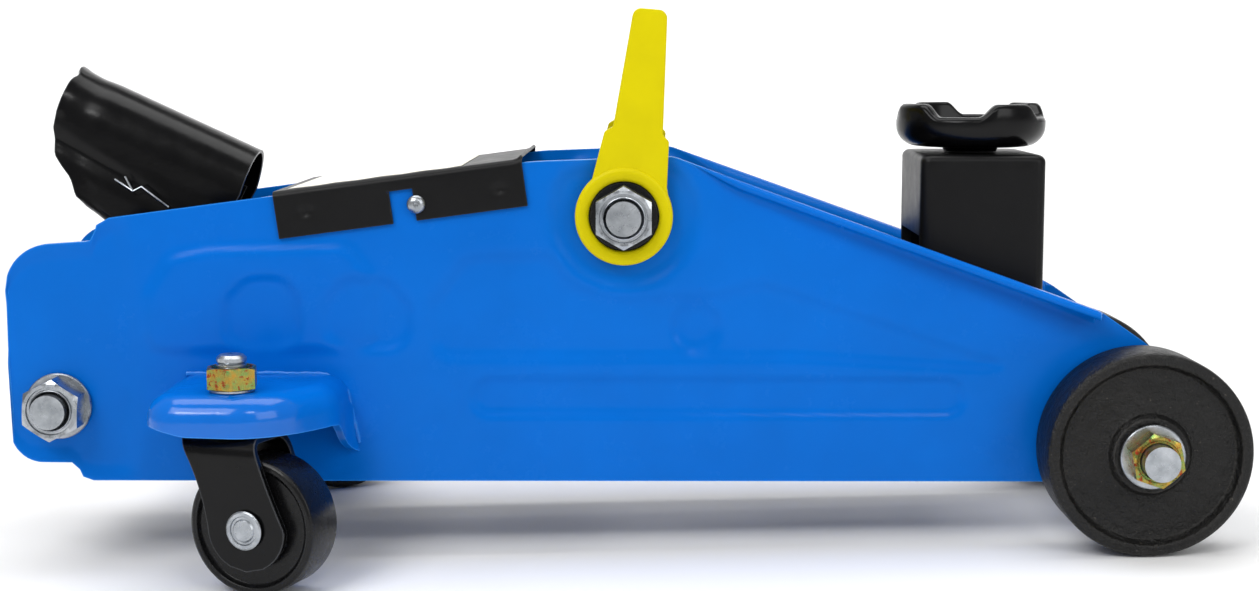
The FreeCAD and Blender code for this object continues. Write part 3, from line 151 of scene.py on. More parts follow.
def finish(name, base, shade, patch_mm, rough, bumps, wear=None, metallic=0.0,
           edge=None, streak=False, gloss=0.5):
    """A material with a slow colour drift, a roughness range, layers of bump and wear.

    bumps is [(grain in mm, height in mm)]; wear is (colour, grain in mm, share worn);
    edge is the lighter colour laid on sharp edges: partly thinned paint, partly a painted highlight."""
    material = bpy.data.materials.new(name)
    material.use_nodes = True
    tree = material.node_tree
    shader = tree.nodes["Principled BSDF"]
    place = add(tree, "TexCoord").outputs["Object"]
    if streak:
        stretched = add(tree, "Mapping", {"Vector": place, "Scale": (1, 1, 14)})
        place = stretched.outputs["Vector"]
    drift = add(tree, "TexNoise", {"Vector": place, "Scale": 1000 / patch_mm, "Detail": 4.0,
                                   "Roughness": 0.6})
    spread = add(tree, "MapRange", {"Value": drift.outputs["Fac"], "From Min": 0.32,
                                    "From Max": 0.68})
    colour = add(tree, "MixRGB", {"Fac": spread.outputs["Result"], "Color1": (*linear(base), 1),
                                  "Color2": (*linear(shade), 1)}).outputs["Color"]
    smudge = add(tree, "TexNoise", {"Vector": place, "Scale": 1000 / (patch_mm * 0.35),
                                    "Detail": 6.0, "Roughness": 0.7})
    roughness = add(tree, "MapRange", {"Value": smudge.outputs["Fac"], "From Min": 0.3,
                                       "From Max": 0.7, "To Min": rough[0], "To Max": rough[1]}
                    ).outputs["Result"]
    # Sharp edges found by the Bevel node are lightened: partly worn paint, partly a painted highlight along each
    # edge.
    if edge:
        rounded = add(tree, "Bevel", {"Radius": 0.0007}, samples=4)
        true = add(tree, "NewGeometry")
        facing = add(tree, "VectorMath", {0: rounded.outputs["Normal"],
                                          1: true.outputs["Normal"]}, operation="DOT_PRODUCT")
        edge_wear_and_highlight = add(tree, "MapRange", {"Value": facing.outputs["Value"], "From Min": 0.995,
                                      "From Max": 0.9, "To Min": 0.0, "To Max": 0.75})
        colour = add(tree, "MixRGB", {"Fac": edge_wear_and_highlight.outputs["Result"], "Color1": colour,
                                      "Color2": (*linear(edge), 1)}).outputs["Color"]
    if wear:
        worn, grain, share = wear
        speck = add(tree, "TexNoise", {"Vector": place, "Scale": 1000 / grain, "Detail": 8.0,
                                       "Roughness": 0.72})
        mask = add(tree, "MapRange", {"Value": speck.outputs["Fac"], "From Min": 1 - share,
                                      "From Max": 1.04 - share})
        colour = add(tree, "MixRGB", {"Fac": mask.outputs["Result"], "Color1": colour,
                                      "Color2": (*linear(worn), 1)}).outputs["Color"]
        roughness = add(tree, "MixRGB", {"Fac": mask.outputs["Result"], "Color1": roughness,
                                         "Color2": (0.65, 0.65, 0.65, 1)}).outputs["Color"]
    normal = None
    for grain, height in bumps:
        layer = add(tree, "TexNoise", {"Vector": place, "Scale": 1000 / grain, "Detail": 3.0,
                                       "Roughness": 0.55})
        inputs = {"Height": layer.outputs["Fac"], "Distance": height / 1000, "Strength": 1.0}
        if normal:
            inputs["Normal"] = normal
        normal = add(tree, "Bump", inputs).outputs["Normal"]
    tree.links.new(colour, shader.inputs["Base Color"])
    tree.links.new(roughness, shader.inputs["Roughness"])
    tree.links.new(normal, shader.inputs["Normal"])
    shader.inputs["Metallic"].default_value = metallic
    shader.inputs["Specular IOR Level"].default_value = gloss
    return material


MATERIALS = {}


class JACK_OT_finishes(bpy.types.Operator):
    """Make the surface finishes that every piece uses"""
    bl_idname = "jack.finishes"
    bl_label = "Finishes"

    def execute(self, context):
        look = context.scene.jack_colours
        # Blue powder coat on pressed steel: a soft broad sheen over fine orange peel.
        # The edge colours below lighten sharp edges: partly worn paint, partly a painted highlight.
        MATERIALS["blue"] = finish(
            "powder-coated steel", look.blue, look.blue_shade, 60, (0.20, 0.30),
            [(1.6, 0.02), (0.35, 0.003)], ("#0A4488", 1.4, 0.31), gloss=0.09, edge="#3E9CF0")
        # The same powder coat laid thick over the rolled brackets: small bright highlights.
        MATERIALS["blue_wet"] = finish(
            "thick powder coat on rolled steel", look.blue, look.blue_shade, 40, (0.10, 0.18),
            [(2.4, 0.05), (0.5, 0.004)], ("#0A4488", 1.4, 0.30), gloss=0.35, edge="#3E9CF0")
        # Black gloss enamel on folded sheet: near mirror, with smears and orange peel.
        MATERIALS["gloss"] = finish(
            "enamelled steel", look.black, "#050506", 25, (0.16, 0.28),
            [(2.2, 0.03)], ("#232325", 1.3, 0.32), gloss=0.2, edge="#5E6064")
        # Satin black powder coat on thin sheet: dull, with a fine grain.
        MATERIALS["satin"] = finish(
            "satin powder-coated sheet", "#0A0A0B", "#0E0E0F", 30, (0.34, 0.46),
            [(0.9, 0.03)], ("#1E1E1F", 1.4, 0.34), gloss=0.18, edge="#2E2F31")
        # Black painted grey iron, sand cast: a coarse skin with paint rubbed off the high spots.
        MATERIALS["casting"] = finish(
            "painted cast iron", "#0B0B0B", "#141312", 18, (0.32, 0.55),
            [(3.2, 1.1), (0.9, 0.5)], ("#4E4A44", 1.7, 0.36), gloss=0.3, edge="#6C6863")
        # Bright zinc plate on cold-headed steel: clean grey metal with a faint cloud.
        MATERIALS["zinc"] = finish(
            "zinc-plated steel", "#B9BDC2", "#8F9499", 6, (0.22, 0.40),
            [(0.8, 0.02), (0.2, 0.006)], ("#6B6A66", 1.1, 0.34), metallic=1.0)
        # Yellow chromate over zinc: gold with red and green patches.
        MATERIALS["chromate"] = finish(
            "yellow chromated steel", "#B98A3A", "#6F9A58", 3.2, (0.2, 0.36),
            [(0.9, 0.02)], ("#A8452A", 2.6, 0.44), metallic=1.0)
        # Turned bolt ends: flat grey steel with a torn grain.
        MATERIALS["sawn"] = finish(
            "turned steel", "#A4A7AA", "#6E7073", 1.6, (0.32, 0.55),
            [(0.7, 0.09)], ("#4A4A49", 0.8, 0.33), metallic=1.0)
        # Ground shafts and the ram: fine lines round the bar under a film of oil.
        MATERIALS["ground"] = finish(
            "ground steel", "#B4B7BA", "#93979B", 8, (0.16, 0.30),
            [(0.5, 0.01)], ("#77716A", 1.6, 0.26), metallic=1.0, streak=True)
        # Injection-moulded polypropylene: even yellow, waxy, with a fine spark-eroded grain.
        MATERIALS["moulded"] = finish(
            "moulded polypropylene", look.yellow, look.yellow_shade, 30, (0.34, 0.46),
            [(0.9, 0.02), (3.5, 0.05)], ("#A89A00", 1.4, 0.30), gloss=0.1)
        # Moulded polyamide tread and hub of the casters: black, polished by rolling.
        MATERIALS["polyamide"] = finish(
            "moulded polyamide", "#0A0A0B", "#101011", 9, (0.2, 0.34),
            [(1.2, 0.03)], ("#2B2A28", 1.2, 0.34), gloss=0.25, edge="#47484A")
        # Hard rubber: dull black with dust in the grain.
        MATERIALS["rubber"] = finish(
            "moulded rubber", "#1A1A1A", "#242423", 9, (0.55, 0.75),
            [(0.8, 0.05)], ("#4A4845", 0.9, 0.25))
        # A blank sheet of coated paper laid on the cover: off-white, matt, slightly cockled.
        MATERIALS["paper"] = finish(
            "coated paper", "#F3F1E8", "#E9E6DA", 14, (0.5, 0.65),
            [(9.0, 0.12), (0.4, 0.004)], ("#DAD6C8", 2.0, 0.3), gloss=0.3)
        # Floor: pale matt paint with a faint roller texture.
        MATERIALS["floor"] = finish(
            "painted studio floor", "#F4F4F4", "#F1F1F1", 300, (0.75, 0.85),
            [(4.0, 0.05)], ("#EDEDEC", 3.0, 0.2))
        return {"FINISHED"}


SLOT_LOOKS = {
    "blue_paint": "blue", "black_paint": "gloss", "black_casting": "casting",
    "bright_zinc": "zinc", "yellow_zinc": "chromate", "ground_steel": "ground",
    "yellow_plastic": "moulded", "black_rubber": "rubber", "black_plastic": "polyamide",
}


# --- mesh building -------------------------------------------------------------------------------

class Shell:
    """Points and faces of one piece, in chassis millimetres."""

    def __init__(self):
        self.points = []
        self.faces = []

    def grid(self, rows, round_rows=False, round_columns=False, skip=None):
        """Faces between rows of points that all have the same length."""
        start = len(self.points)
        width = len(rows[0])
        for row in rows:
            self.points.extend(tuple(point) for point in row)
        for i in range(len(rows) if round_rows else len(rows) - 1):
            for k in range(width if round_columns else width - 1):
                if skip and skip(i, k):
                    continue
                after, beside = (i + 1) % len(rows), (k + 1) % width
                self.faces.append((start + i * width + k, start + i * width + beside,
                                   start + after * width + beside, start + after * width + k))
        return start

    def lathe(self, centre, axis, profile, steps=64, radius=None):
        """A profile of (along, radius) turned about an axis; radius reshapes it by angle."""
        axis = Vector(axis).normalized()
        first = axis.orthogonal().normalized()
        if abs(axis.y) > 0.9:
            first = Vector((0, 0, 1))
        second = axis.cross(first)
        rows = []
        for along, size in profile:
            row = []
            for k in range(steps):
                angle = 2 * math.pi * k / steps
                out, high = radius(angle, size, along) if radius else (size, along)
                row.append(Vector(centre) + axis * high
                           + (first * math.cos(angle) + second * math.sin(angle)) * out)
            rows.append(row)
        self.grid(rows, round_columns=True)

    def tube(self, path, size, steps=10, closed=False):
        """A round wire along a path; size is its radius, or one radius per point."""
        path = [Vector(point) for point in path]
        count = len(path)
        sizes = size if isinstance(size, (list, tuple)) else [size] * count
        rows = []
        side = None
        for i, point in enumerate(path):
            before = path[i - 1] if i or closed else path[i]
            after = path[(i + 1) % count] if i + 1 < count or closed else path[i]
            run = (after - before).normalized()
            side = (side - run * side.dot(run)).normalized() if side else run.orthogonal()
            side.normalize()
            other = run.cross(side)
            rows.append([point + (side * math.cos(2 * math.pi * k / steps)
                                  + other * math.sin(2 * math.pi * k / steps)) * sizes[i]
                         for k in range(steps)])
        self.grid(rows, round_rows=closed, round_columns=True)
        if not closed:
            total = len(self.points)
            self.faces.append(tuple(range(total - steps, total)))
            first = total - steps * count
            self.faces.append(tuple(range(first, first + steps)))

    def prism(self, outline, low, high, place):
        """An outline pulled from low to high; place turns (u, v, w) into a point."""
        start = len(self.points)
        count = len(outline)
        for level in (low, high):
            self.points.extend(tuple(place(u, v, level)) for u, v in outline)
        for k in range(count):
            beside = (k + 1) % count
            self.faces.append((start + k, start + beside, start + count + beside,
                               start + count + k))
        self.faces.append(tuple(range(start, start + count)))
        self.faces.append(tuple(range(start + count, start + 2 * count)))


def across(u, v, w):
    """A point of an outline in X and Z, at Y = w."""
    return (u, w, v)


def rounded(points, radii, steps=6):
    """A polygon with each corner replaced by an arc of its own radius."""
    result = []
    count = len(points)
    for i, point in enumerate(points):
        radius = radii[i] if isinstance(radii, (list, tuple)) else radii
        here = Vector(point)
        to_last = (Vector(points[i - 1]) - here)
        to_next = (Vector(points[(i + 1) % count]) - here)
        angle = to_last.angle(to_next)
        if radius <= 0 or angle > math.radians(178):
            result.append(tuple(here))
            continue
        cut = radius / math.tan(angle / 2)
        cut = min(cut, to_last.length * 0.49, to_next.length * 0.49)
        radius = cut * math.tan(angle / 2)
        start = here + to_last.normalized() * cut
        end = here + to_next.normalized() * cut
        middle = (to_last.normalized() + to_next.normalized()).normalized()
        centre = here + middle * (radius / math.sin(angle / 2))
        for k in range(steps + 1):
            t = k / steps
            spoke = (start - centre).lerp(end - centre, t)
            result.append(tuple(centre + spoke.normalized() * radius))
    return result


def round_edges(made, width, angle):
    """Round the edges sharper than an angle in degrees, by a width in millimetres."""
    edge = made.modifiers.new("edges", "BEVEL")
    edge.width = width / 1000
    edge.segments = 3
    edge.limit_method = "ANGLE"
    edge.angle_limit = math.radians(angle)
    edge.harden_normals = True


def piece(name, shell, look, body, nodes=(), bevel=0.0, sheet=0.0, smooth=35.0,
          place=CHASSIS):
    """A mesh object from a shell: welded, shaded, finished and riding on its body."""
    mesh = bpy.data.meshes.new(name)
    mesh.from_pydata(shell.points, [], shell.faces)
    work = bmesh.new()
    work.from_mesh(mesh)
    bmesh.ops.remove_doubles(work, verts=work.verts, dist=0.002)
    bmesh.ops.dissolve_degenerate(work, edges=work.edges, dist=0.001)
    bmesh.ops.recalc_face_normals(work, faces=work.faces)
    work.normal_update()
    if sheet:
        middle = sum((v.co for v in work.verts), Vector()) / len(work.verts)
        outward = sum(f.calc_area() * f.normal.dot(f.calc_center_median() - middle)
                      for f in work.faces)
        if outward < 0:
            bmesh.ops.reverse_faces(work, faces=work.faces)
    for face in work.faces:
        face.smooth = True
    for line in work.edges:
        if len(line.link_faces) == 2:
            line.smooth = line.calc_face_angle(0) < math.radians(smooth)
    work.to_mesh(mesh)
    work.free()
    mesh.transform(place)
    mesh.materials.append(MATERIALS[look])
    made = bpy.data.objects.new(name, mesh)
    bpy.context.scene.collection.objects.link(made)
    if sheet:
        thick = made.modifiers.new("thickness", "SOLIDIFY")
        thick.thickness = abs(sheet) / 1000
        thick.offset = math.copysign(1, sheet)
        thick.use_even_offset = True
    if bevel:
        round_edges(made, bevel, smooth)
    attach(made, body)
    if nodes:
        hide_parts(*nodes)
    return made


def smoothstep(value):
    """A soft step from 0 to 1 while the value goes from 0 to 1."""
    value = np.clip(value, 0.0, 1.0)
    return value * value * (3 - 2 * value)


def distance(x, z, outline):
    """Signed distance from points to a closed outline, negative inside."""
    best = np.full(x.shape, 1e9)
    inside = np.zeros(x.shape, bool)
    count = len(outline)
    for i in range(count):
        ax, az = outline[i]
        bx, bz = outline[(i + 1) % count]
        dx, dz = bx - ax, bz - az
        t = np.clip(((x - ax) * dx + (z - az) * dz) / (dx * dx + dz * dz + 1e-12), 0, 1)
        best = np.minimum(best, np.hypot(x - ax - t * dx, z - az - t * dz))
        crosses = (az > z) != (bz > z)
        side = ax + (z - az) * dx / (dz if abs(dz) > 1e-12 else 1e-12)
        inside ^= crosses & (x < side)
    return np.where(inside, -best, best)


# --- side plates ---------------------------------------------------------------------------------

def half_edge(points, radii):
    """An edge of the plate as X and Z from the rear end forward."""
    line = [(round(x, 3), z) for x, z in rounded(points, radii, 14)]
    return sorted(set(line[line.index(min(line)):] + line[:line.index(min(line))]))


PLATE_REAR, PLATE_FRONT = -217.6, 196.0
LOWER_EDGE = half_edge([(PLATE_REAR, 41.0), (PLATE_REAR, 6.6), (-194.6, 6.4),
                        (-192.0, 0.0), (PLATE_FRONT, 0.0), (PLATE_FRONT, 41.0)],
                       [0, 21.0, 2.5, 2.2, 15.0, 0])
UPPER_EDGE = half_edge([(PLATE_REAR, 42.0), (PLATE_REAR, 82.6), (-186.6, 84.7), (-184.6, 92.2),
                        (-172.0, 93.9), (-34.3, 112.3), (15.0, 114.1), (163.2, 60.8),
                        (179.3, 49.6), (PLATE_FRONT, 36.0), (PLATE_FRONT, 22.0)],
                       [0, 26.0, 3.0, 3.0, 20.0, 30.0, 12.0, 6.0, 10.0, 12.0, 0])
FLANGE_FROM, FLANGE_TO = 17.0, 163.6
FLANGE_STARTS, FLANGE_GROWS = 2.6, 9.0
RUN_IN, RUN_OUT = 22, 2
UNDER_BEND, OVER_BEND = 2.6, 5.6
COLUMN_STEP, COLUMN_ROWS, EDGE_MARGIN = 1.6, 76, 6
PRESSINGS = [
    # (outline, corner radius, depth outwards, width of the slope)
    ([(-55, 23.6), (117, 23.6), (117, 36.3), (-55, 36.3)], 6.3, -1.3, 3.2),
    ([(-68, 44), (-68, 63.5), (-57, 79), (-28, 80), (-20, 70), (-8, 65), (6, 64.6), (31, 66),
      (46, 70), (132, 41.3), (124, 40), (60, 44)], 6.0, -1.1, 4.5),
    ([(-169, 46), (-168, 66), (-160, 79), (-146, 82), (-98, 83), (-88, 70), (-90, 47)], 7.0,
     1.3, 4.5),
    ([(-141, 47), (-141, 64), (-133, 72), (-120, 72), (-115, 64), (-116, 47)], 8.0, -1.4, 4.0),
    ([(-106, 47), (-106, 64), (-99, 72), (-84, 71), (-76, 62), (-78, 47)], 8.0, -1.2, 4.0),
    ([(-230, -5), (-176, -5), (-172, 40), (-177, 95), (-230, 95)], 4.0, -0.9, 7.0),
]
DIMPLES = [(-1.9, 93.6, 24.5, -1.6, 6.0), (23.2, 54.7, 8.0, -1.3, 5.0)]


def pressed(x, z):
    """How far the sheet is pushed outwards at a point of the plate."""
    push = np.zeros(x.shape)
    for outline, radius, depth, slope in PRESSINGS:
        gap = distance(x, z, rounded(outline, radius))
        push += depth * (1 - smoothstep((gap + slope / 2) / slope))
    for cx, cz, radius, depth, slope in DIMPLES:
        gap = np.hypot(x - cx, z - cz) - radius
        push += depth * (1 - smoothstep((gap + slope / 2) / slope))
    return push


def turned_edge(x):
    """Outer skin to inner skin round the turned strip at x: how far out, and how far down."""
    grown = float(smoothstep((x - FLANGE_FROM) / RUN_IN) * smoothstep((FLANGE_TO - x) / RUN_OUT))
    along = np.clip((x - FLANGE_FROM) / (FLANGE_TO - FLANGE_FROM), 0, 1)
    reach = (FLANGE_STARTS + FLANGE_GROWS * along) * grown
    wall, under, over = PLATE_WALL * grown, UNDER_BEND * grown, OVER_BEND * grown
    line = []
    for k in range(1, 8):
        a = math.pi / 2 * k / 7
        line.append((under * (1 - math.cos(a)), -wall - under * (1 - math.sin(a))))
    for k in range(7):
        a = math.pi * k / 6
        line.append((reach - wall * 0.4 * (1 - math.sin(a)), -wall * (1 + math.cos(a)) / 2))
    for k in range(8):
        a = math.pi / 2 * k / 7
        line.append((-PLATE_WALL + over * (1 - math.sin(a)), -over * (1 - math.cos(a))))
    return line


def plate(side):
    """One pressed side plate, with the strip along its sloping edge turned outwards."""
    shell = Shell()
    marks = [x for x, _ in LOWER_EDGE + UPPER_EDGE]
    marks += [FLANGE_TO - back for back in (2.0, 1.6, 1.2, 0.8, 0.4, 0.0)]
    evenly = np.arange(PLATE_REAR, PLATE_FRONT, COLUMN_STEP)
    columns = sorted(set(np.round(np.concatenate([evenly, marks]), 3)))
    columns = [x for i, x in enumerate(columns) if i == 0 or x - columns[i - 1] > 0.25]
    columns[-1] = PLATE_FRONT
    columns = np.array(columns)
    low = np.interp(columns, *zip(*LOWER_EDGE))
    top = np.interp(columns, *zip(*UPPER_EDGE))
    edges = [turned_edge(x) for x in columns]
    high = top + np.array([edge[-1][1] for edge in edges])
    share = np.linspace(0, 1, COLUMN_ROWS)
    x = np.repeat(columns[:, None], len(share), 1)
    z = low[:, None] + (high - low)[:, None] * share[None, :]
    push = pressed(x, z)
    edge = np.minimum(np.abs(z - low[:, None]), np.abs(high[:, None] - z))
    push *= smoothstep(edge / EDGE_MARGIN)
    loops = []
    for i in range(len(columns)):
        skin = [(x[i, k], PLATE_OUT + push[i, k], z[i, k]) for k in range(len(share))]
        turned = [(x[i, 0], PLATE_OUT + out, top[i] + down) for out, down in edges[i]]
        back = [(px, py - PLATE_WALL, pz) for px, py, pz in reversed(skin)]
        loops.append([(px, side * py, pz) for px, py, pz in skin + turned + back])
    start = shell.grid(loops, round_columns=True)
    width = len(loops[0])
    shell.faces.append(tuple(range(start, start + width)))
    last = start + width * (len(loops) - 1)
    shell.faces.append(tuple(range(last, last + width)))
    return shell


class JACK_OT_side_plates(bpy.types.Operator):
    """Draw both pressed side plates with their turned edges"""
    bl_idname = "jack.side_plates"
    bl_label = "Side plates"

    def execute(self, context):
        sizes = context.scene.jack_sizes
        for side, word in SIDES:
            piece("pressed_side_plate_" + word, plate(side), "blue", "chassis",
                  ["side_plate_" + word], bevel=sizes.plate_round * 1000)
        return {"FINISHED"}


# --- caster brackets -----------------------------------------------------------------------------

SHELF_REAR, SHELF_FRONT, SHELF_OUT, SHELF_TOP = -159.6, -99.0, 93.0, 38.0


def shelf_line(inset):
    """The shelf's plan from the plate at its rear, round its corners, to the plate again."""
    corners = [(SHELF_REAR, PLATE_OUT - 0.5), (SHELF_REAR, SHELF_OUT), (-116.0, SHELF_OUT),
               (SHELF_FRONT, 66.0), (-98.0, PLATE_OUT - 0.5)]
    arcs = rounded(corners, [0, 13.0, 26.0, 22.0, 0], 12)
    line = []
    for first, last in zip(arcs, arcs[1:]):
        steps = max(1, int((Vector(last) - Vector(first)).length / 2.2))
        line += [tuple(Vector(first).lerp(Vector(last), k / steps)) for k in range(steps)]
    line.append(arcs[-1])
    moved = []
    for i, point in enumerate(line):
        run = Vector(line[min(i + 1, len(line) - 1)]) - Vector(line[max(i - 1, 0)])
        inward = Vector((run.y, -run.x)).normalized()
        here = Vector(point) + inward * inset
        moved.append((here.x, max(here.y, PLATE_OUT - 0.5)))
    return moved


def skirt_depth(x, y):
    """Lower edge of the rim: rising towards the front corner, then running down the plate."""
    low = float(np.interp(x, [-157.0, -150.0, -145.0, -128.0, -112.0, -105.0],
                          [27.5, 26.2, 25.0, 24.5, 24.6, 24.3]))
    if x > -110.0:
        return float(np.interp(y, [43.0, 46.0, 50.0, 56.0, 62.0, 68.0],
                               [10.5, 12.0, 15.0, 20.0, 23.5, low]))
    if x < -153.0:
        return float(np.interp(y, [43.0, 58.0, 75.0], [19.0, 23.5, low]))
    return low


def bracket(side):
    """The shelf with its rolled rim, which runs down into two webs along the plate."""
    shell = Shell()
    roll = 8.5
    steps = 8
    rows = []
    for k in range(steps + 1):
        a = math.pi / 2 * k / steps
        rows.append([(x, y, SHELF_TOP - roll * (1 - math.sin(a)))
                     for x, y in shelf_line(roll * (1 - math.cos(a)))])
    middle = (SHELF_REAR + SHELF_FRONT) / 2
    edge = PLATE_OUT - 0.5
    for t in (0.35, 0.7, 1.0):
        rows.append([(x + (middle - x) * t, y + (edge - y) * t * 0.999, SHELF_TOP)
                     for x, y in shelf_line(roll)])
    lower = []
    for t in np.linspace(1, 0, 7)[:-1]:
        row = []
        for x, y in shelf_line(0.0):
            top = SHELF_TOP - roll
            z = top + (min(skirt_depth(x, y), top - 0.6) - top) * t
            near = max(0.0, 1 - (y - PLATE_OUT) / 10.0)
            flare = 4.5 * near ** 2 * (0.7 if x > -120 else -0.5)
            row.append((x + flare * (0.3 + 0.7 * t), y, z))
        lower.append(row)
    shell.grid([[(x, side * y, z) for x, y, z in row] for row in lower + rows])
    return shell


def weld_bead(side, points):
    """A bead of weld along a line, with its ripples as a change of radius."""
    path, sizes = [], []
    for i in range(len(points) - 1):
        a, b = Vector(points[i]), Vector(points[i + 1])
        steps = max(2, int((b - a).length / 0.8))
        for k in range(steps):
            t = k / steps
            path.append(a.lerp(b, t))
            sizes.append(0.8 + 0.12 * math.sin(len(path) * 1.1) + 0.12 * math.sin(len(path) * 0.37))
    shell = Shell()
    shell.tube([(p.x, side * p.y, p.z) for p in path], sizes, 10)
    return shell


class JACK_OT_caster_brackets(bpy.types.Operator):
    """Draw the pressed caster brackets and their weld beads"""
    bl_idname = "jack.caster_brackets"
    bl_label = "Caster brackets"

    def execute(self, context):
        sizes = context.scene.jack_sizes
        for side, word in SIDES:
            piece("pressed_caster_bracket_" + word, bracket(side), "blue_wet", "chassis",
                  ["caster_bracket_" + word],
                  sheet=-sizes.bracket_sheet * 1000, bevel=0.5,
                  smooth=50)
            bead = weld_bead(side, [(-155.0, 43.2, 38.1), (-126.0, 43.2, 38.3),
                                    (-106.0, 43.2, 38.0), (-98.8, 43.2, 32.0),
                                    (-94.6, 43.2, 13.0)])
            piece("weld_bead_" + word, bead, "blue_wet", "chassis")
        return {"FINISHED"}


# --- fasteners -----------------------------------------------------------------------------------

def nut_shell(shell, centre, axis, tall, flats, bore, turn=0.0):
    """A hexagon nut with the ridges chamfered by a cone."""
    circle = flats / 2 * 1.01

    def shaped(angle, size, along):
        if size < flats / 2 - 0.4:
            return size, along
        spread = (angle + turn + math.pi / 6) % (math.pi / 3) - math.pi / 6
        corner = flats / 2 / math.cos(spread)
        if size > flats / 2 + 1:
            drop = (corner - circle) * 0.55
            return corner, along - drop if along > tall / 2 else along
        return circle * 0.985, along

    profile = [(0.0, bore), (0.0, 99.0), (tall, 99.0),
               (tall, flats / 2 * 0.99), (tall - 0.1, flats / 2 * 0.88),
               (tall - 0.9, flats / 2 * 0.86), (tall - 0.9, flats / 2 * 0.79),
               (tall - 0.1, flats / 2 * 0.77), (tall, bore + 0.9), (tall - 0.7, bore + 0.3),
               (tall - 2.0, bore)]
    shell.lathe(centre, axis, profile, 96, shaped)


def bolt_end(shell, centre, axis, start, end, radius, pitch):
    """The threaded end of a bolt, chamfered, with a flat face."""
    profile = [(start, 0.0), (start, radius)]
    along = start
    while along + pitch < end - 1.4:
        profile += [(along + pitch * 0.3, radius), (along + pitch * 0.55, radius - 0.62),
                    (along + pitch * 0.9, radius)]
        along += pitch
    profile += [(end - 1.1, radius), (end - 0.15, radius - 0.9), (end, radius - 1.2),
                (end - 0.12, radius * 0.4), (end - 0.1, 0.0)]
    shell.lathe(centre, axis, profile, 48)


def washer_shell(shell, centre, axis, start, thick, radius, bore):
    """A flat washer with its outer edges rolled over by the punch."""
    soft = min(0.35, thick / 3)
    shell.lathe(centre, axis, [(start, bore), (start, radius - soft), (start + soft, radius),
                               (start + thick - soft, radius), (start + thick, radius - soft),
                               (start + thick, bore + 0.3), (start + thick - 0.3, bore)], 72)


FASTENINGS = [
    # name, x, z, base, washer thickness, washer radius, nut height, flats, bolt radius, tail,
    # nut finish and slot, turn, washer finish, replaced nodes
    # The lift pivot's washers are dark polyamide: a dark part put in as painted shade in the gap between nut and
    # handle ring.
    ("lift_pivot", -1.9, 93.6, 43.0, 3.0, 12.0, 10.0, 19.0, 6.0, 2.4, "zinc", "bright_zinc",
     math.pi / 6, "polyamide", ["pivot_shoulder_washers", "lift_pivot_nuts"]),
    ("rear_tie", -200.0, 26.8, 43.0, 2.0, 11.6, 10.0, 19.0, 6.0, 2.2, "zinc", "bright_zinc", 0.589,
     "zinc", ["rear_tie_washers", "rear_tie_nuts"]),
    ("front_wheel", 176.9, 14.0, 67.6, 2.0, 11.0, 7.0, 16.5, 6.0, 2.0, "chromate", "yellow_zinc",
     0.327, "zinc", ["front_wheel_washers", "front_wheel_nuts"]),
]


class JACK_OT_fasteners(bpy.types.Operator):
    """Draw the nuts, washers and bolt ends of the three cross shafts"""
    bl_idname = "jack.fasteners"
    bl_label = "Fasteners"

    def execute(self, context):
        sizes = context.scene.jack_sizes
        for (name, x, z, base, thick, wide, tall, flats, radius, tail, look, slot, turn,
             under, nodes) in FASTENINGS:
            nuts, washers, shaft = Shell(), Shell(), Shell()
            for side in (NEAR, FAR):
                axis = (0, side, 0)
                centre = (x, 0, z)
                washer_shell(washers, centre, axis, base, thick, wide, radius + 0.15)
                low = base + thick
                nut_shell(nuts, (x, side * low, z), axis, tall, flats, radius + 0.15, turn)
                bolt_end(shaft, centre, axis, low - 1.0, low + tall + tail, radius,
                         sizes.thread * 1000)
            piece(name + "_hexagon_nuts", nuts, look, "chassis", nodes[1:], smooth=28)
            piece(name + "_flat_washers", washers, under, "chassis", nodes[:1])
            piece(name + "_thread_ends", shaft, "sawn", "chassis")
        return {"FINISHED"}


# --- wheels --------------------------------------------------------------------------------------

# How far out and at what radius: the hub's inner end, the web and the rim's inner edge, then
# the tread, the rim's outer edge, the disc and the hub's outer end.
WHEEL_BACK = [(43.45, 6.1), (43.45, 12.9), (44.0, 13.3), (46.6, 13.3), (48.0, 14.5),
              (48.0, 29.2), (47.2, 30.3), (45.7, 30.6), (45.0, 31.4), (45.0, 33.6), (45.5, 34.5),
              (46.6, 35.0)]
WHEEL_FACE = [(56.0, 35.0), (65.3, 35.0), (66.4, 34.6), (67.0, 33.7), (67.0, 31.5), (66.6, 30.9),
              (65.0, 30.3), (64.0, 29.4), (63.7, 27.0), (63.9, 20.0), (63.9, 15.6), (64.6, 14.2),
              (66.2, 13.4), (67.0, 12.7), (67.0, 6.1), (43.45, 6.1)]


class JACK_OT_front_wheels(bpy.types.Operator):
    """Draw the two cast front wheels"""
    bl_idname = "jack.front_wheels"
    bl_label = "Front wheels"

    def execute(self, context):
        for side, word in SIDES:
            shell = Shell()
            shell.lathe((176.9, 0, 14.0), (0, side, 0), WHEEL_BACK + WHEEL_FACE, 128)
            piece("cast_front_wheel_" + word, shell, "casting", "front_wheel_" + word,
                  ["front_wheel_" + word], bevel=0.35, smooth=30)
        return {"FINISHED"}


def caster_place(side):
    """Chassis placement of a caster drawn about its stem, with its wheel trailing along X."""
    turn = Matrix.Rotation(math.radians(19.0 * side), 4, "Z")
    return CHASSIS @ Matrix.Translation((-131.7, side * 78.5, 0)) @ turn


AXLE_X, AXLE_Z = 10.9, -5.5
EYE = 14.2


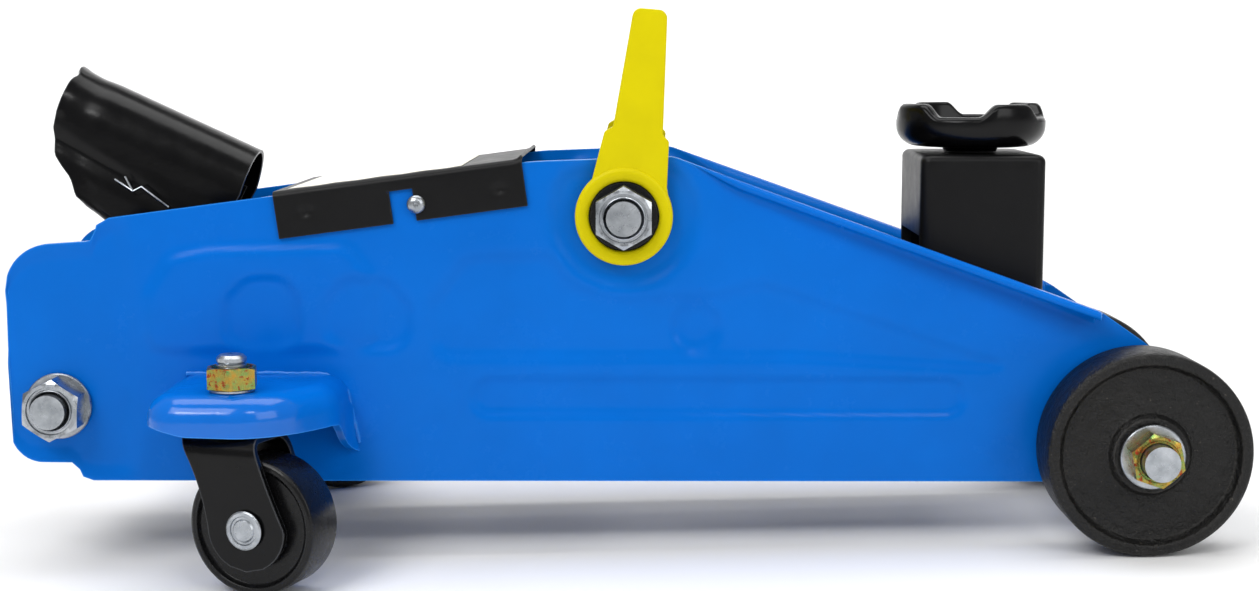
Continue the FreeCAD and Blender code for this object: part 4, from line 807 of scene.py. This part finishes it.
def fork_shell():
    """A strip bent over the wheel, with its legs rounded about the axle."""
    shell = Shell()
    half, bend, top, low = 12.1, 6.0, 24.5, AXLE_Z - EYE
    path = []
    for z in np.linspace(low, top - bend, 26):
        path.append((-half, z))
    for k in range(1, 9):
        a = math.pi / 2 * k / 8
        path.append((-half + bend * (1 - math.cos(a)), top - bend + bend * math.sin(a)))
    for y in np.linspace(-half + bend, half - bend, 8)[1:-1]:
        path.append((y, top))
    for k in range(8, 0, -1):
        a = math.pi / 2 * k / 8
        path.append((half - bend * (1 - math.cos(a)), top - bend + bend * math.sin(a)))
    for z in np.linspace(top - bend, low, 26):
        path.append((half, z))
    rows = []
    for y, z in path:
        if z > AXLE_Z:
            t = (z - AXLE_Z) / (top - AXLE_Z)
            bow = math.sin(math.pi * t) * 1.6
            rear = AXLE_X - EYE + (-EYE - AXLE_X + EYE) * t + bow
            fore = AXLE_X + EYE + (13.4 - AXLE_X - EYE) * t - bow * 0.4
        else:
            reach = math.sqrt(max(EYE ** 2 - (z - AXLE_Z) ** 2, 0.0))
            rear, fore = AXLE_X - reach, AXLE_X + reach
        rows.append([(rear + (fore - rear) * t, y, z) for t in np.linspace(0, 1, 13)])
    shell.grid(rows)
    return shell


class JACK_OT_casters(bpy.types.Operator):
    """Draw the caster forks, wheels, rivets, stems, washers and nuts"""
    bl_idname = "jack.casters"
    bl_label = "Casters"

    def execute(self, context):
        sizes = context.scene.jack_sizes
        for side, word in SIDES:
            place = caster_place(side)
            body = "caster_fork_" + word
            piece("pressed_caster_fork_" + word, fork_shell(), "gloss", body,
                  ["caster_fork_" + word], sheet=-sizes.fork_sheet * 1000, bevel=0.5, smooth=50,
                  place=place)
            axle = Shell()
            for end in (-1, 1):
                axle.lathe((AXLE_X, 0, AXLE_Z), (0, end, 0),
                           [(2.0, 4.0), (12.6, 4.0), (12.6, 6.2), (12.9, 6.5), (13.4, 6.5),
                            (13.8, 6.0), (13.8, 4.9), (13.3, 4.6), (13.3, 3.9), (13.9, 3.4),
                            (13.95, 0.0)], 48)
            piece("caster_axle_rivet_" + word, axle, "zinc", body,
                  ["caster_axle_" + word], place=place)
            wheel = Shell()
            half = [(-9.0, 8.0), (-8.9, 4.1), (8.9, 4.1), (9.0, 8.0), (7.6, 8.6), (7.4, 19.2),
                    (8.2, 20.0), (9.0, 20.4), (9.0, 21.8), (8.4, 22.7), (7.2, 23.0), (-7.2, 23.0),
                    (-8.4, 22.7), (-9.0, 21.8), (-9.0, 20.4), (-8.2, 20.0), (-7.4, 19.2),
                    (-7.6, 8.6), (-9.0, 8.0)]
            wheel.lathe((AXLE_X, 0, AXLE_Z), (0, 1, 0), half, 96)
            piece("caster_wheel_moulding_" + word, wheel, "polyamide", "caster_wheel_" + word,
                  ["caster_wheel_" + word], bevel=0.3, smooth=30, place=place)
            stem, nut, cup = Shell(), Shell(), Shell()
            bolt_end(stem, (0, 0, 0), (0, 0, 1), 19.5, 50.4, 5.0, 1.6)
            washer_shell(cup, (0, 0, 0), (0, 0, 1), 38.0, 1.3, 7.6, 5.2)
            nut_shell(nut, (0, 0, 39.3), (0, 0, 1), 7.1, 15.6, 5.15, 0.327)
            piece("caster_stem_thread_" + word, stem, "zinc", "chassis",
                  ["caster_stem_" + word], place=place)
            piece("caster_flat_washer_" + word, cup, "zinc", "chassis",
                  ["caster_washer_" + word], place=place)
            piece("caster_hexagon_nut_" + word, nut, "chromate", "chassis",
                  ["caster_nut_" + word], place=place, smooth=28)
        return {"FINISHED"}


# --- top cover -----------------------------------------------------------------------------------

DECK_RISE, DECK_RUN = 20.3, 151.7
DECK_SLOPE = math.atan2(DECK_RISE, DECK_RUN)
COVER_REAR, COVER_LONG, COVER_HALF = -123.4, 87.0, 44.5


def deck(x):
    """Height of the plates' upper edge under the cover."""
    return 92.0 + (x + 186.0) * DECK_RISE / DECK_RUN


def cover_point(t, height, y):
    """A point t along the deck from the cover's rear end, height above the plates' edge."""
    x = COVER_REAR + t * math.cos(DECK_SLOPE) - height * math.sin(DECK_SLOPE)
    z = deck(COVER_REAR) + t * math.sin(DECK_SLOPE) + height * math.cos(DECK_SLOPE)
    return (x, y, z)


class JACK_OT_top_cover(bpy.types.Operator):
    """Draw the folded top cover and its two screw heads"""
    bl_idname = "jack.top_cover"
    bl_label = "Top cover"

    def execute(self, context):
        sizes = context.scene.jack_sizes
        shell = Shell()
        long = COVER_LONG
        stations = sorted(set([0, 0.6, long - 3, long - 1.5, long] + [39.9, 40.1, 48.2, 48.4]
                              + list(np.arange(1.5, long - 3, 1.5))))
        half, bend, top = COVER_HALF, 2.2, 1.5
        path = [(-half, -15.0 + 0.75 * k) for k in range(18)]
        for k in range(7):
            a = math.pi / 2 * k / 6
            path.append((-half + bend * (1 - math.cos(a)), top - bend + bend * math.sin(a)))
        middle = [(y, top) for y in np.linspace(-half + bend, half - bend, 30)[1:-1]]
        path = path + middle + [(-y, h) for y, h in reversed(path)]
        rows = []
        for t in stations:
            row = []
            lip = 1.3 * max(0.0, (t - (long - 3)) / 3) ** 2
            for y, height in path:
                if abs(y) > half - 0.1:
                    dent = 0.0
                    for at, deep in ((10.5, -7.0), (78.0, -8.0)):
                        dent += 1.1 * math.exp(-((t - at) ** 2 + (height - deep) ** 2) / 2.6)
                    y = y - math.copysign(dent, y)
                lift = lip if height > 0 else 0.0
                row.append(cover_point(t, height + lift, y))
            rows.append(row)
        skirt = 15

        def slot_cut(i, k):
            t = (stations[i] + stations[i + 1]) / 2
            inside = 40.0 < t < 48.3
            return inside and (k < skirt or k >= len(path) - 1 - skirt)

        shell.grid(rows, skip=slot_cut)
        piece("folded_top_cover", shell, "satin", "chassis", ["top_cover"],
              sheet=-sizes.cover_sheet * 1000, bevel=0.25, smooth=50)
        label = Shell()
        label.grid([[cover_point(t, 1.62 + 0.14 * math.sin(t * 0.21) ** 2, y)
                     for y in np.linspace(-40.5, 40.5, 28)] for t in np.linspace(5.0, 66.0, 42)])
        piece("blank_cover_label", label, "paper", "chassis", sheet=0.12)
        screws = Shell()
        for side in (NEAR, FAR):
            centre = (-73.7, side * 44.6, deck(-73.7) - 9.4)
            screws.lathe(centre, (0, side, 0), [(0, 0), (0, 3.1), (0.6, 3.2), (1.4, 2.7),
                                                (1.9, 1.6), (2.0, 0.9), (1.2, 0.7), (1.1, 0.0)], 32)
        piece("cover_screw_heads", screws, "zinc", "chassis", ["cover_screws"])
        return {"FINISHED"}


# --- carry handle --------------------------------------------------------------------------------

LEG = [(-14.6, 102.6), (-12.9, 106.4), (-8.6, 122.8), (-5.6, 124.6), (1.5, 164.9),
       (13.0, 163.9), (11.5, 121.6), (13.6, 119.4), (12.9, 103.5), (13.6, 99.6)]
LEG_ROUNDS = [0, 3, 1.6, 1.6, 3.0, 3.0, 1.6, 1.6, 3, 0]
# The leg ends on an arc inside the ring, clear of the nut.
ROOT = [(PIVOT[0] + 14.2 * math.cos(math.radians(a)), PIVOT[1] + 14.2 * math.sin(math.radians(a)))
        for a in range(26, 146, 8)]


class JACK_OT_carry_handle(bpy.types.Operator):
    """Draw the moulded carry handle with its two rings"""
    bl_idname = "jack.carry_handle"
    bl_label = "Carry handle"

    def execute(self, context):
        shell = Shell()
        cx, cz = PIVOT
        for side in (NEAR, FAR):
            profile = [(43.35, 12.15), (43.35, 16.3), (43.9, 16.9), (47.6, 16.9), (48.3, 16.2),
                       (48.4, 15.2), (48.4, 13.4), (48.0, 12.5), (47.4, 12.15), (43.35, 12.15)]
            shell.lathe((cx, 0, cz), (0, side, 0), profile, 96)
            leg = rounded(LEG + ROOT, LEG_ROUNDS + [0] * len(ROOT))
            low, high = sorted((side * 43.35, side * 47.5))
            shell.prism(leg, low, high, across)
        grip = rounded([(-1.0, 146.5), (1.7, 164.9), (12.8, 163.9), (12.2, 146.0)], [3, 3, 3, 3])
        shell.prism(grip, -43.6, 43.6, across)
        piece("moulded_carry_handle", shell, "moulded", "carry_handle",
              ["carry_handle"], bevel=0.6, smooth=40)
        return {"FINISHED"}


# --- handle socket -------------------------------------------------------------------------------

SOCKET = (-164.0, 85.0)
TUBE_RISE = math.radians(24.9)
TUBE_RAD, LINER_RAD, CHEEK_DEEP = 15.9, 13.2, 33.0
# Where the mouth and the front end lie along the tube, by depth under the tube's middle.
MOUTH = [(-16.4, -57.6), (-11.3, -57.1), (-5.2, -56.7), (0.5, -56.1), (5.9, -55.0), (9.7, -53.0),
         (14.4, -50.5), (16.5, -47.6), (19.8, -42.0), (22.3, -39.9), (24.9, -37.9),
         (26.5, -32.6), (27.6, -25.7), (33.0, -14.0)]
FRONT = [(-16.4, 13.6), (0.0, 15.5), (10.0, 14.5), (20.0, 12.0), (27.0, 9.0), (33.0, 1.0)]


def tube_point(ahead, above, y):
    """A point along and square to the socket's tube, from the point over its pivot."""
    x = SOCKET[0] + ahead * math.cos(TUBE_RISE) + (above + 22.4) * math.sin(TUBE_RISE)
    z = SOCKET[1] - ahead * math.sin(TUBE_RISE) + (above + 22.4) * math.cos(TUBE_RISE)
    return (x, y, z)


class JACK_OT_handle_socket(bpy.types.Operator):
    """Draw the rolled socket for the pump handle, and its wire"""
    bl_idname = "jack.handle_socket"
    bl_label = "Handle socket"

    def execute(self, context):
        sizes = context.scene.jack_sizes
        shell = Shell()
        section = [(-1, depth) for depth in np.linspace(CHEEK_DEEP, 0.0, 30)[:-1]]
        section += [(None, angle) for angle in np.linspace(0, math.pi, 33)]
        section += [(1, depth) for depth in np.linspace(0.0, CHEEK_DEEP, 30)[1:]]
        rows = []
        for t in np.linspace(0, 1, 64):
            row = []
            for side, value in section:
                under = -TUBE_RAD * math.sin(value) if side is None else value
                start = float(np.interp(under, *zip(*MOUTH)))
                end = float(np.interp(under, *zip(*FRONT)))
                if side is None:
                    start += 1.5 * math.exp(-((value - 1.05) / 0.16) ** 2)
                ahead = start + (end - start) * t
                lip = 0.6 * math.exp(-(t / 0.03) ** 2)
                swell = lip - 0.4 * math.exp(-((t - 0.12) / 0.06) ** 2)
                if side is None:
                    out = -(TUBE_RAD + swell) * math.cos(value)
                    above = (TUBE_RAD + swell) * math.sin(value) * 1.02
                else:
                    spread = 1.2 * float(smoothstep(np.array((value - 5) / 14)))
                    crease = 1.1 * math.exp(-((value - 9.5 - 6 * t) / 2.6) ** 2)
                    out = side * (TUBE_RAD + swell * 0.5 + spread - crease * (1 - t) * 1.2)
                    above = -value
                row.append(tube_point(ahead, above, out))
            rows.append(row)
        shell.grid(rows)
        liner = []
        for ahead in np.linspace(-44, 12.4, 24):
            liner.append([tube_point(ahead, -LINER_RAD * math.sin(a), -LINER_RAD * math.cos(a))
                          for a in np.linspace(0, math.pi, 25)])
        shell.grid(liner)
        piece("rolled_handle_socket", shell, "gloss", "handle_socket",
              ["handle_socket"], sheet=-sizes.socket_sheet * 1000, bevel=0.3, smooth=50)
        wire = Shell()
        wire.tube([(-184.5, -19.2, 104.8), (-178.1, -19.4, 100.5), (-175.0, -19.4, 102.1),
                   (-165.4, -19.2, 94.7)], sizes.wire * 1000, 8)
        wire.tube([(-180.8, -19.2, 105.8), (-178.1, -19.4, 100.5)], sizes.wire * 1000, 8)
        piece("socket_return_wire", wire, "zinc", "handle_socket")
        return {"FINISHED"}


# --- saddle --------------------------------------------------------------------------------------

CUP = (124.5, 0.0)
TOOTH_TURN = math.radians(-19.0)
GAP_FLOOR, TOOTH_TALL = 126.9, 4.6


def tooth_height(angle):
    """Top of the rim above the gaps' floor, by angle."""
    spread = (angle - TOOTH_TURN) % (math.pi / 2) - math.pi / 4
    edge = 1 - smoothstep(np.array((abs(spread) - math.radians(13)) / math.radians(16)))
    return GAP_FLOOR + TOOTH_TALL * float(edge)


class JACK_OT_saddle(bpy.types.Operator):
    """Draw the cast saddle cup with its four lobes"""
    bl_idname = "jack.saddle"
    bl_label = "Saddle"

    def execute(self, context):
        shell = Shell()
        outside = [(0, 115.8), (12.0, 115.8), (18.6, 115.9)]
        for k in range(1, 8):
            a = math.pi / 2 * k / 7
            outside.append((19.4 + 7.6 * math.sin(a), 123.6 - 7.6 * math.cos(a)))
        rows = []
        steps = 144
        for k in range(steps):
            angle = 2 * math.pi * k / steps
            top = tooth_height(angle)
            bulge = 0.2 * (top - GAP_FLOOR) / TOOTH_TALL
            section = list(outside)
            section += [(27.0 + bulge, min(125.0, top - 1.8)), (27.0 + bulge, top - 1.7),
                        (26.6 + bulge, top - 0.8), (25.8 + bulge, top - 0.15), (24.9, top),
                        (23.4, top), (22.5, top - 0.25), (21.9, top - 0.9), (21.7, top - 1.8),
                        (21.6, 125.0), (21.0, 124.2), (19.8, 124.0), (8.0, 124.0), (0, 124.0)]
            rows.append([(CUP[0] + r * math.cos(angle), CUP[1] + r * math.sin(angle), z)
                         for r, z in section])
        shell.grid(rows, round_rows=True)
        stem = [(101.9, 0), (101.9, 7.5), (102.4, 8.0), (114.1, 8.0), (114.1, 9.5), (115.9, 10.2),
                (115.9, 0)]
        shell.lathe((CUP[0], 0, 0), (0, 0, 1), stem, 48)
        piece("cast_saddle", shell, "gloss", "saddle", ["saddle"], smooth=38)
        return {"FINISHED"}


class JACK_OT_saddle_bracket(bpy.types.Operator):
    """Draw the folded bracket that carries the saddle"""
    bl_idname = "jack.saddle_bracket"
    bl_label = "Saddle bracket"

    def execute(self, context):
        sizes = context.scene.jack_sizes
        rear, front, half, top, fold = 103.0, 147.3, 27.5, 113.8, 2.6
        lower = [(103.0, 57.0), (106.0, 55.0), (120.0, 31.0), (124.0, 29.2), (137.0, 29.2),
                 (141.0, 31.0), (147.3, 57.0)]

        corners = [(rear, -half), (front, -half), (front, half), (rear, half)]
        arcs = rounded(corners, 3.4, 5)
        base = []
        for i, point in enumerate(arcs):
            after = Vector(arcs[(i + 1) % len(arcs)])
            here = Vector(point)
            steps = max(1, int((after - here).length / 2.4))
            base += [tuple(here.lerp(after, k / steps)) for k in range(steps)]
        rows = []
        for t in np.linspace(0, 1, 30):
            row = []
            for x, y in base:
                low = float(np.interp(x, *zip(*lower)))
                row.append((x, y, low + (top - fold - low) * t))
            rows.append(row)
        centre = (rear + front) / 2
        for k in range(1, 7):
            a = math.pi / 2 * k / 6
            inset = fold * (1 - math.cos(a))
            row = []
            for x, y in base:
                rx = centre + (x - centre) * (1 - inset / (front - rear) * 2)
                row.append((rx, y * (1 - inset / half), top - fold + fold * math.sin(a)))
            rows.append(row)
        shell = Shell()

        def opening(i, k):
            x, y = base[k]
            z = rows[i][k][2]
            at_rear = x < rear + 0.4 and abs(y) < half - 3.6 and z < 84
            at_front = x > front - 0.4 and abs(y) < half - 3.6 and z < 76
            return at_rear or at_front

        start = shell.grid(rows, round_columns=True, skip=opening)
        last = start + len(base) * (len(rows) - 1)
        shell.faces.append(tuple(range(last, last + len(base))))
        piece("folded_saddle_bracket", shell, "satin", "saddle_bracket",
              ["saddle_bracket"], sheet=-sizes.block_sheet * 1000, bevel=0.3, smooth=50)
        return {"FINISHED"}


# --- everything that keeps its CAD shape ---------------------------------------------------------

class JACK_OT_inner_parts(bpy.types.Operator):
    """Give the parts that keep their CAD shape a finish and round edges"""
    bl_idname = "jack.inner_parts"
    bl_label = "Inner parts"

    def execute(self, context):
        for row in frame["record"]["subparts"]:
            node = frame["nodes"][row["node"]]
            node.data.materials.clear()
            node.data.materials.append(MATERIALS[SLOT_LOOKS[row["material_slot"]]])
            round_edges(node, 0.8, 35)
        return {"FINISHED"}


# --- stage ---------------------------------------------------------------------------------------

def area_light(name, place, target, size, power):
    """A soft rectangular lamp aimed at a point, itself unseen."""
    lamp = bpy.data.lights.new(name, "AREA")
    lamp.shape = "RECTANGLE"
    lamp.size, lamp.size_y = size
    lamp.energy = power
    made = bpy.data.objects.new(name, lamp)
    made.location = place
    made.rotation_euler = (Vector(target) - Vector(place)).to_track_quat("-Z", "Y").to_euler()
    made.visible_camera = False
    bpy.context.scene.collection.objects.link(made)


class JACK_OT_stage(bpy.types.Operator):
    """Set the floor, the lights and the camera"""
    bl_idname = "jack.stage"
    bl_label = "Stage"

    def execute(self, context):
        power = context.scene.jack_sizes.power
        shell = Shell()
        rows = []
        near, far, sweep, high = -5.0, 2.4, 0.8, 4.5
        line = [(near, 0.0), (far, 0.0)]
        for k in range(1, 10):
            a = math.pi / 2 * k / 9
            line.append((far + sweep * math.sin(a), sweep * (1 - math.cos(a))))
        line.append((far + sweep, high))
        for x in (-6.0, 0.0, 6.0):
            rows.append([(x, y, z) for y, z in line])
        mesh = bpy.data.meshes.new("studio_floor")
        shell.grid(rows)
        mesh.from_pydata(shell.points, [], shell.faces)
        for face in mesh.polygons:
            face.use_smooth = True
        mesh.materials.append(MATERIALS["floor"])
        floor = bpy.data.objects.new("studio_floor", mesh)
        floor.location.z = -0.0003
        bpy.context.scene.collection.objects.link(floor)
        world = bpy.data.worlds.new("studio")
        world.use_nodes = True
        sky = world.node_tree.nodes["Background"]
        sky.inputs["Color"].default_value = (1, 1, 1, 1)
        sky.inputs["Strength"].default_value = 0.34
        bpy.context.scene.world = world
        area_light("key", (-0.7, -1.1, 1.3), (0, 0, 0.08), (1.0, 0.8), 12 * power)
        area_light("fill", (1.1, -1.2, 0.7), (0, 0, 0.08), (0.9, 0.9), 7 * power)
        area_light("top", (0.0, 0.1, 1.5), (0, 0, 0.05), (1.6, 0.8), 14 * power)
        area_light("left_spark", (-0.45, -0.9, 0.75), (-0.1, 0, 0.08), (0.22, 0.12), 1.2 * power)
        area_light("right_spark", (0.25, -0.9, 0.8), (-0.1, 0, 0.08), (0.22, 0.12), 1.2 * power)
        area_light("backdrop", (0.0, 2.0, 2.0), (0, 3.2, 0.5), (4.5, 0.8), 62 * power)
        build_camera(context.scene.jack_sizes.lens)
        bpy.context.scene.view_settings.view_transform = "Standard"
        return {"FINISHED"}


def build_camera(length):
    """A camera on the near side, a little above the plates, looking slightly down."""
    pitch, yaw = math.radians(6.87), math.radians(0.31)
    look = Vector((-math.sin(yaw) * math.cos(pitch), math.cos(yaw) * math.cos(pitch),
                   -math.sin(pitch)))
    right = look.cross(Vector((0, 0, 1))).normalized()
    up = right.cross(look)
    axes = Matrix((TURN @ right, TURN @ up, -(TURN @ look))).transposed().to_4x4()
    lens = bpy.data.cameras.new("view")
    lens.lens = length
    lens.sensor_width = 36.0
    camera = bpy.data.objects.new("view", lens)
    camera.matrix_world = Matrix.Translation(CHASSIS @ Vector((3.65, -718.0, 147.1))) @ axes
    bpy.context.scene.collection.objects.link(camera)
    bpy.context.scene.camera = camera


# --- add-on --------------------------------------------------------------------------------------

CLASSES = (
    JackColours, JackSizes, JACK_OT_finishes, JACK_OT_inner_parts, JACK_OT_side_plates,
    JACK_OT_caster_brackets, JACK_OT_fasteners, JACK_OT_front_wheels, JACK_OT_casters,
    JACK_OT_top_cover, JACK_OT_carry_handle, JACK_OT_handle_socket, JACK_OT_saddle,
    JACK_OT_saddle_bracket, JACK_OT_stage, JACK_PT_pieces,
)


def register():
    for made in CLASSES:
        bpy.utils.register_class(made)
    bpy.types.Scene.jack_colours = bpy.props.PointerProperty(type=JackColours)
    bpy.types.Scene.jack_sizes = bpy.props.PointerProperty(type=JackSizes)


def unregister():
    del bpy.types.Scene.jack_sizes
    del bpy.types.Scene.jack_colours
    for made in reversed(CLASSES):
        bpy.utils.unregister_class(made)


def main():
    """Register the add-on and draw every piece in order."""
    register()
    for name in STEPS:
        getattr(bpy.ops.jack, name)()


if __name__ == "__main__":
    main()
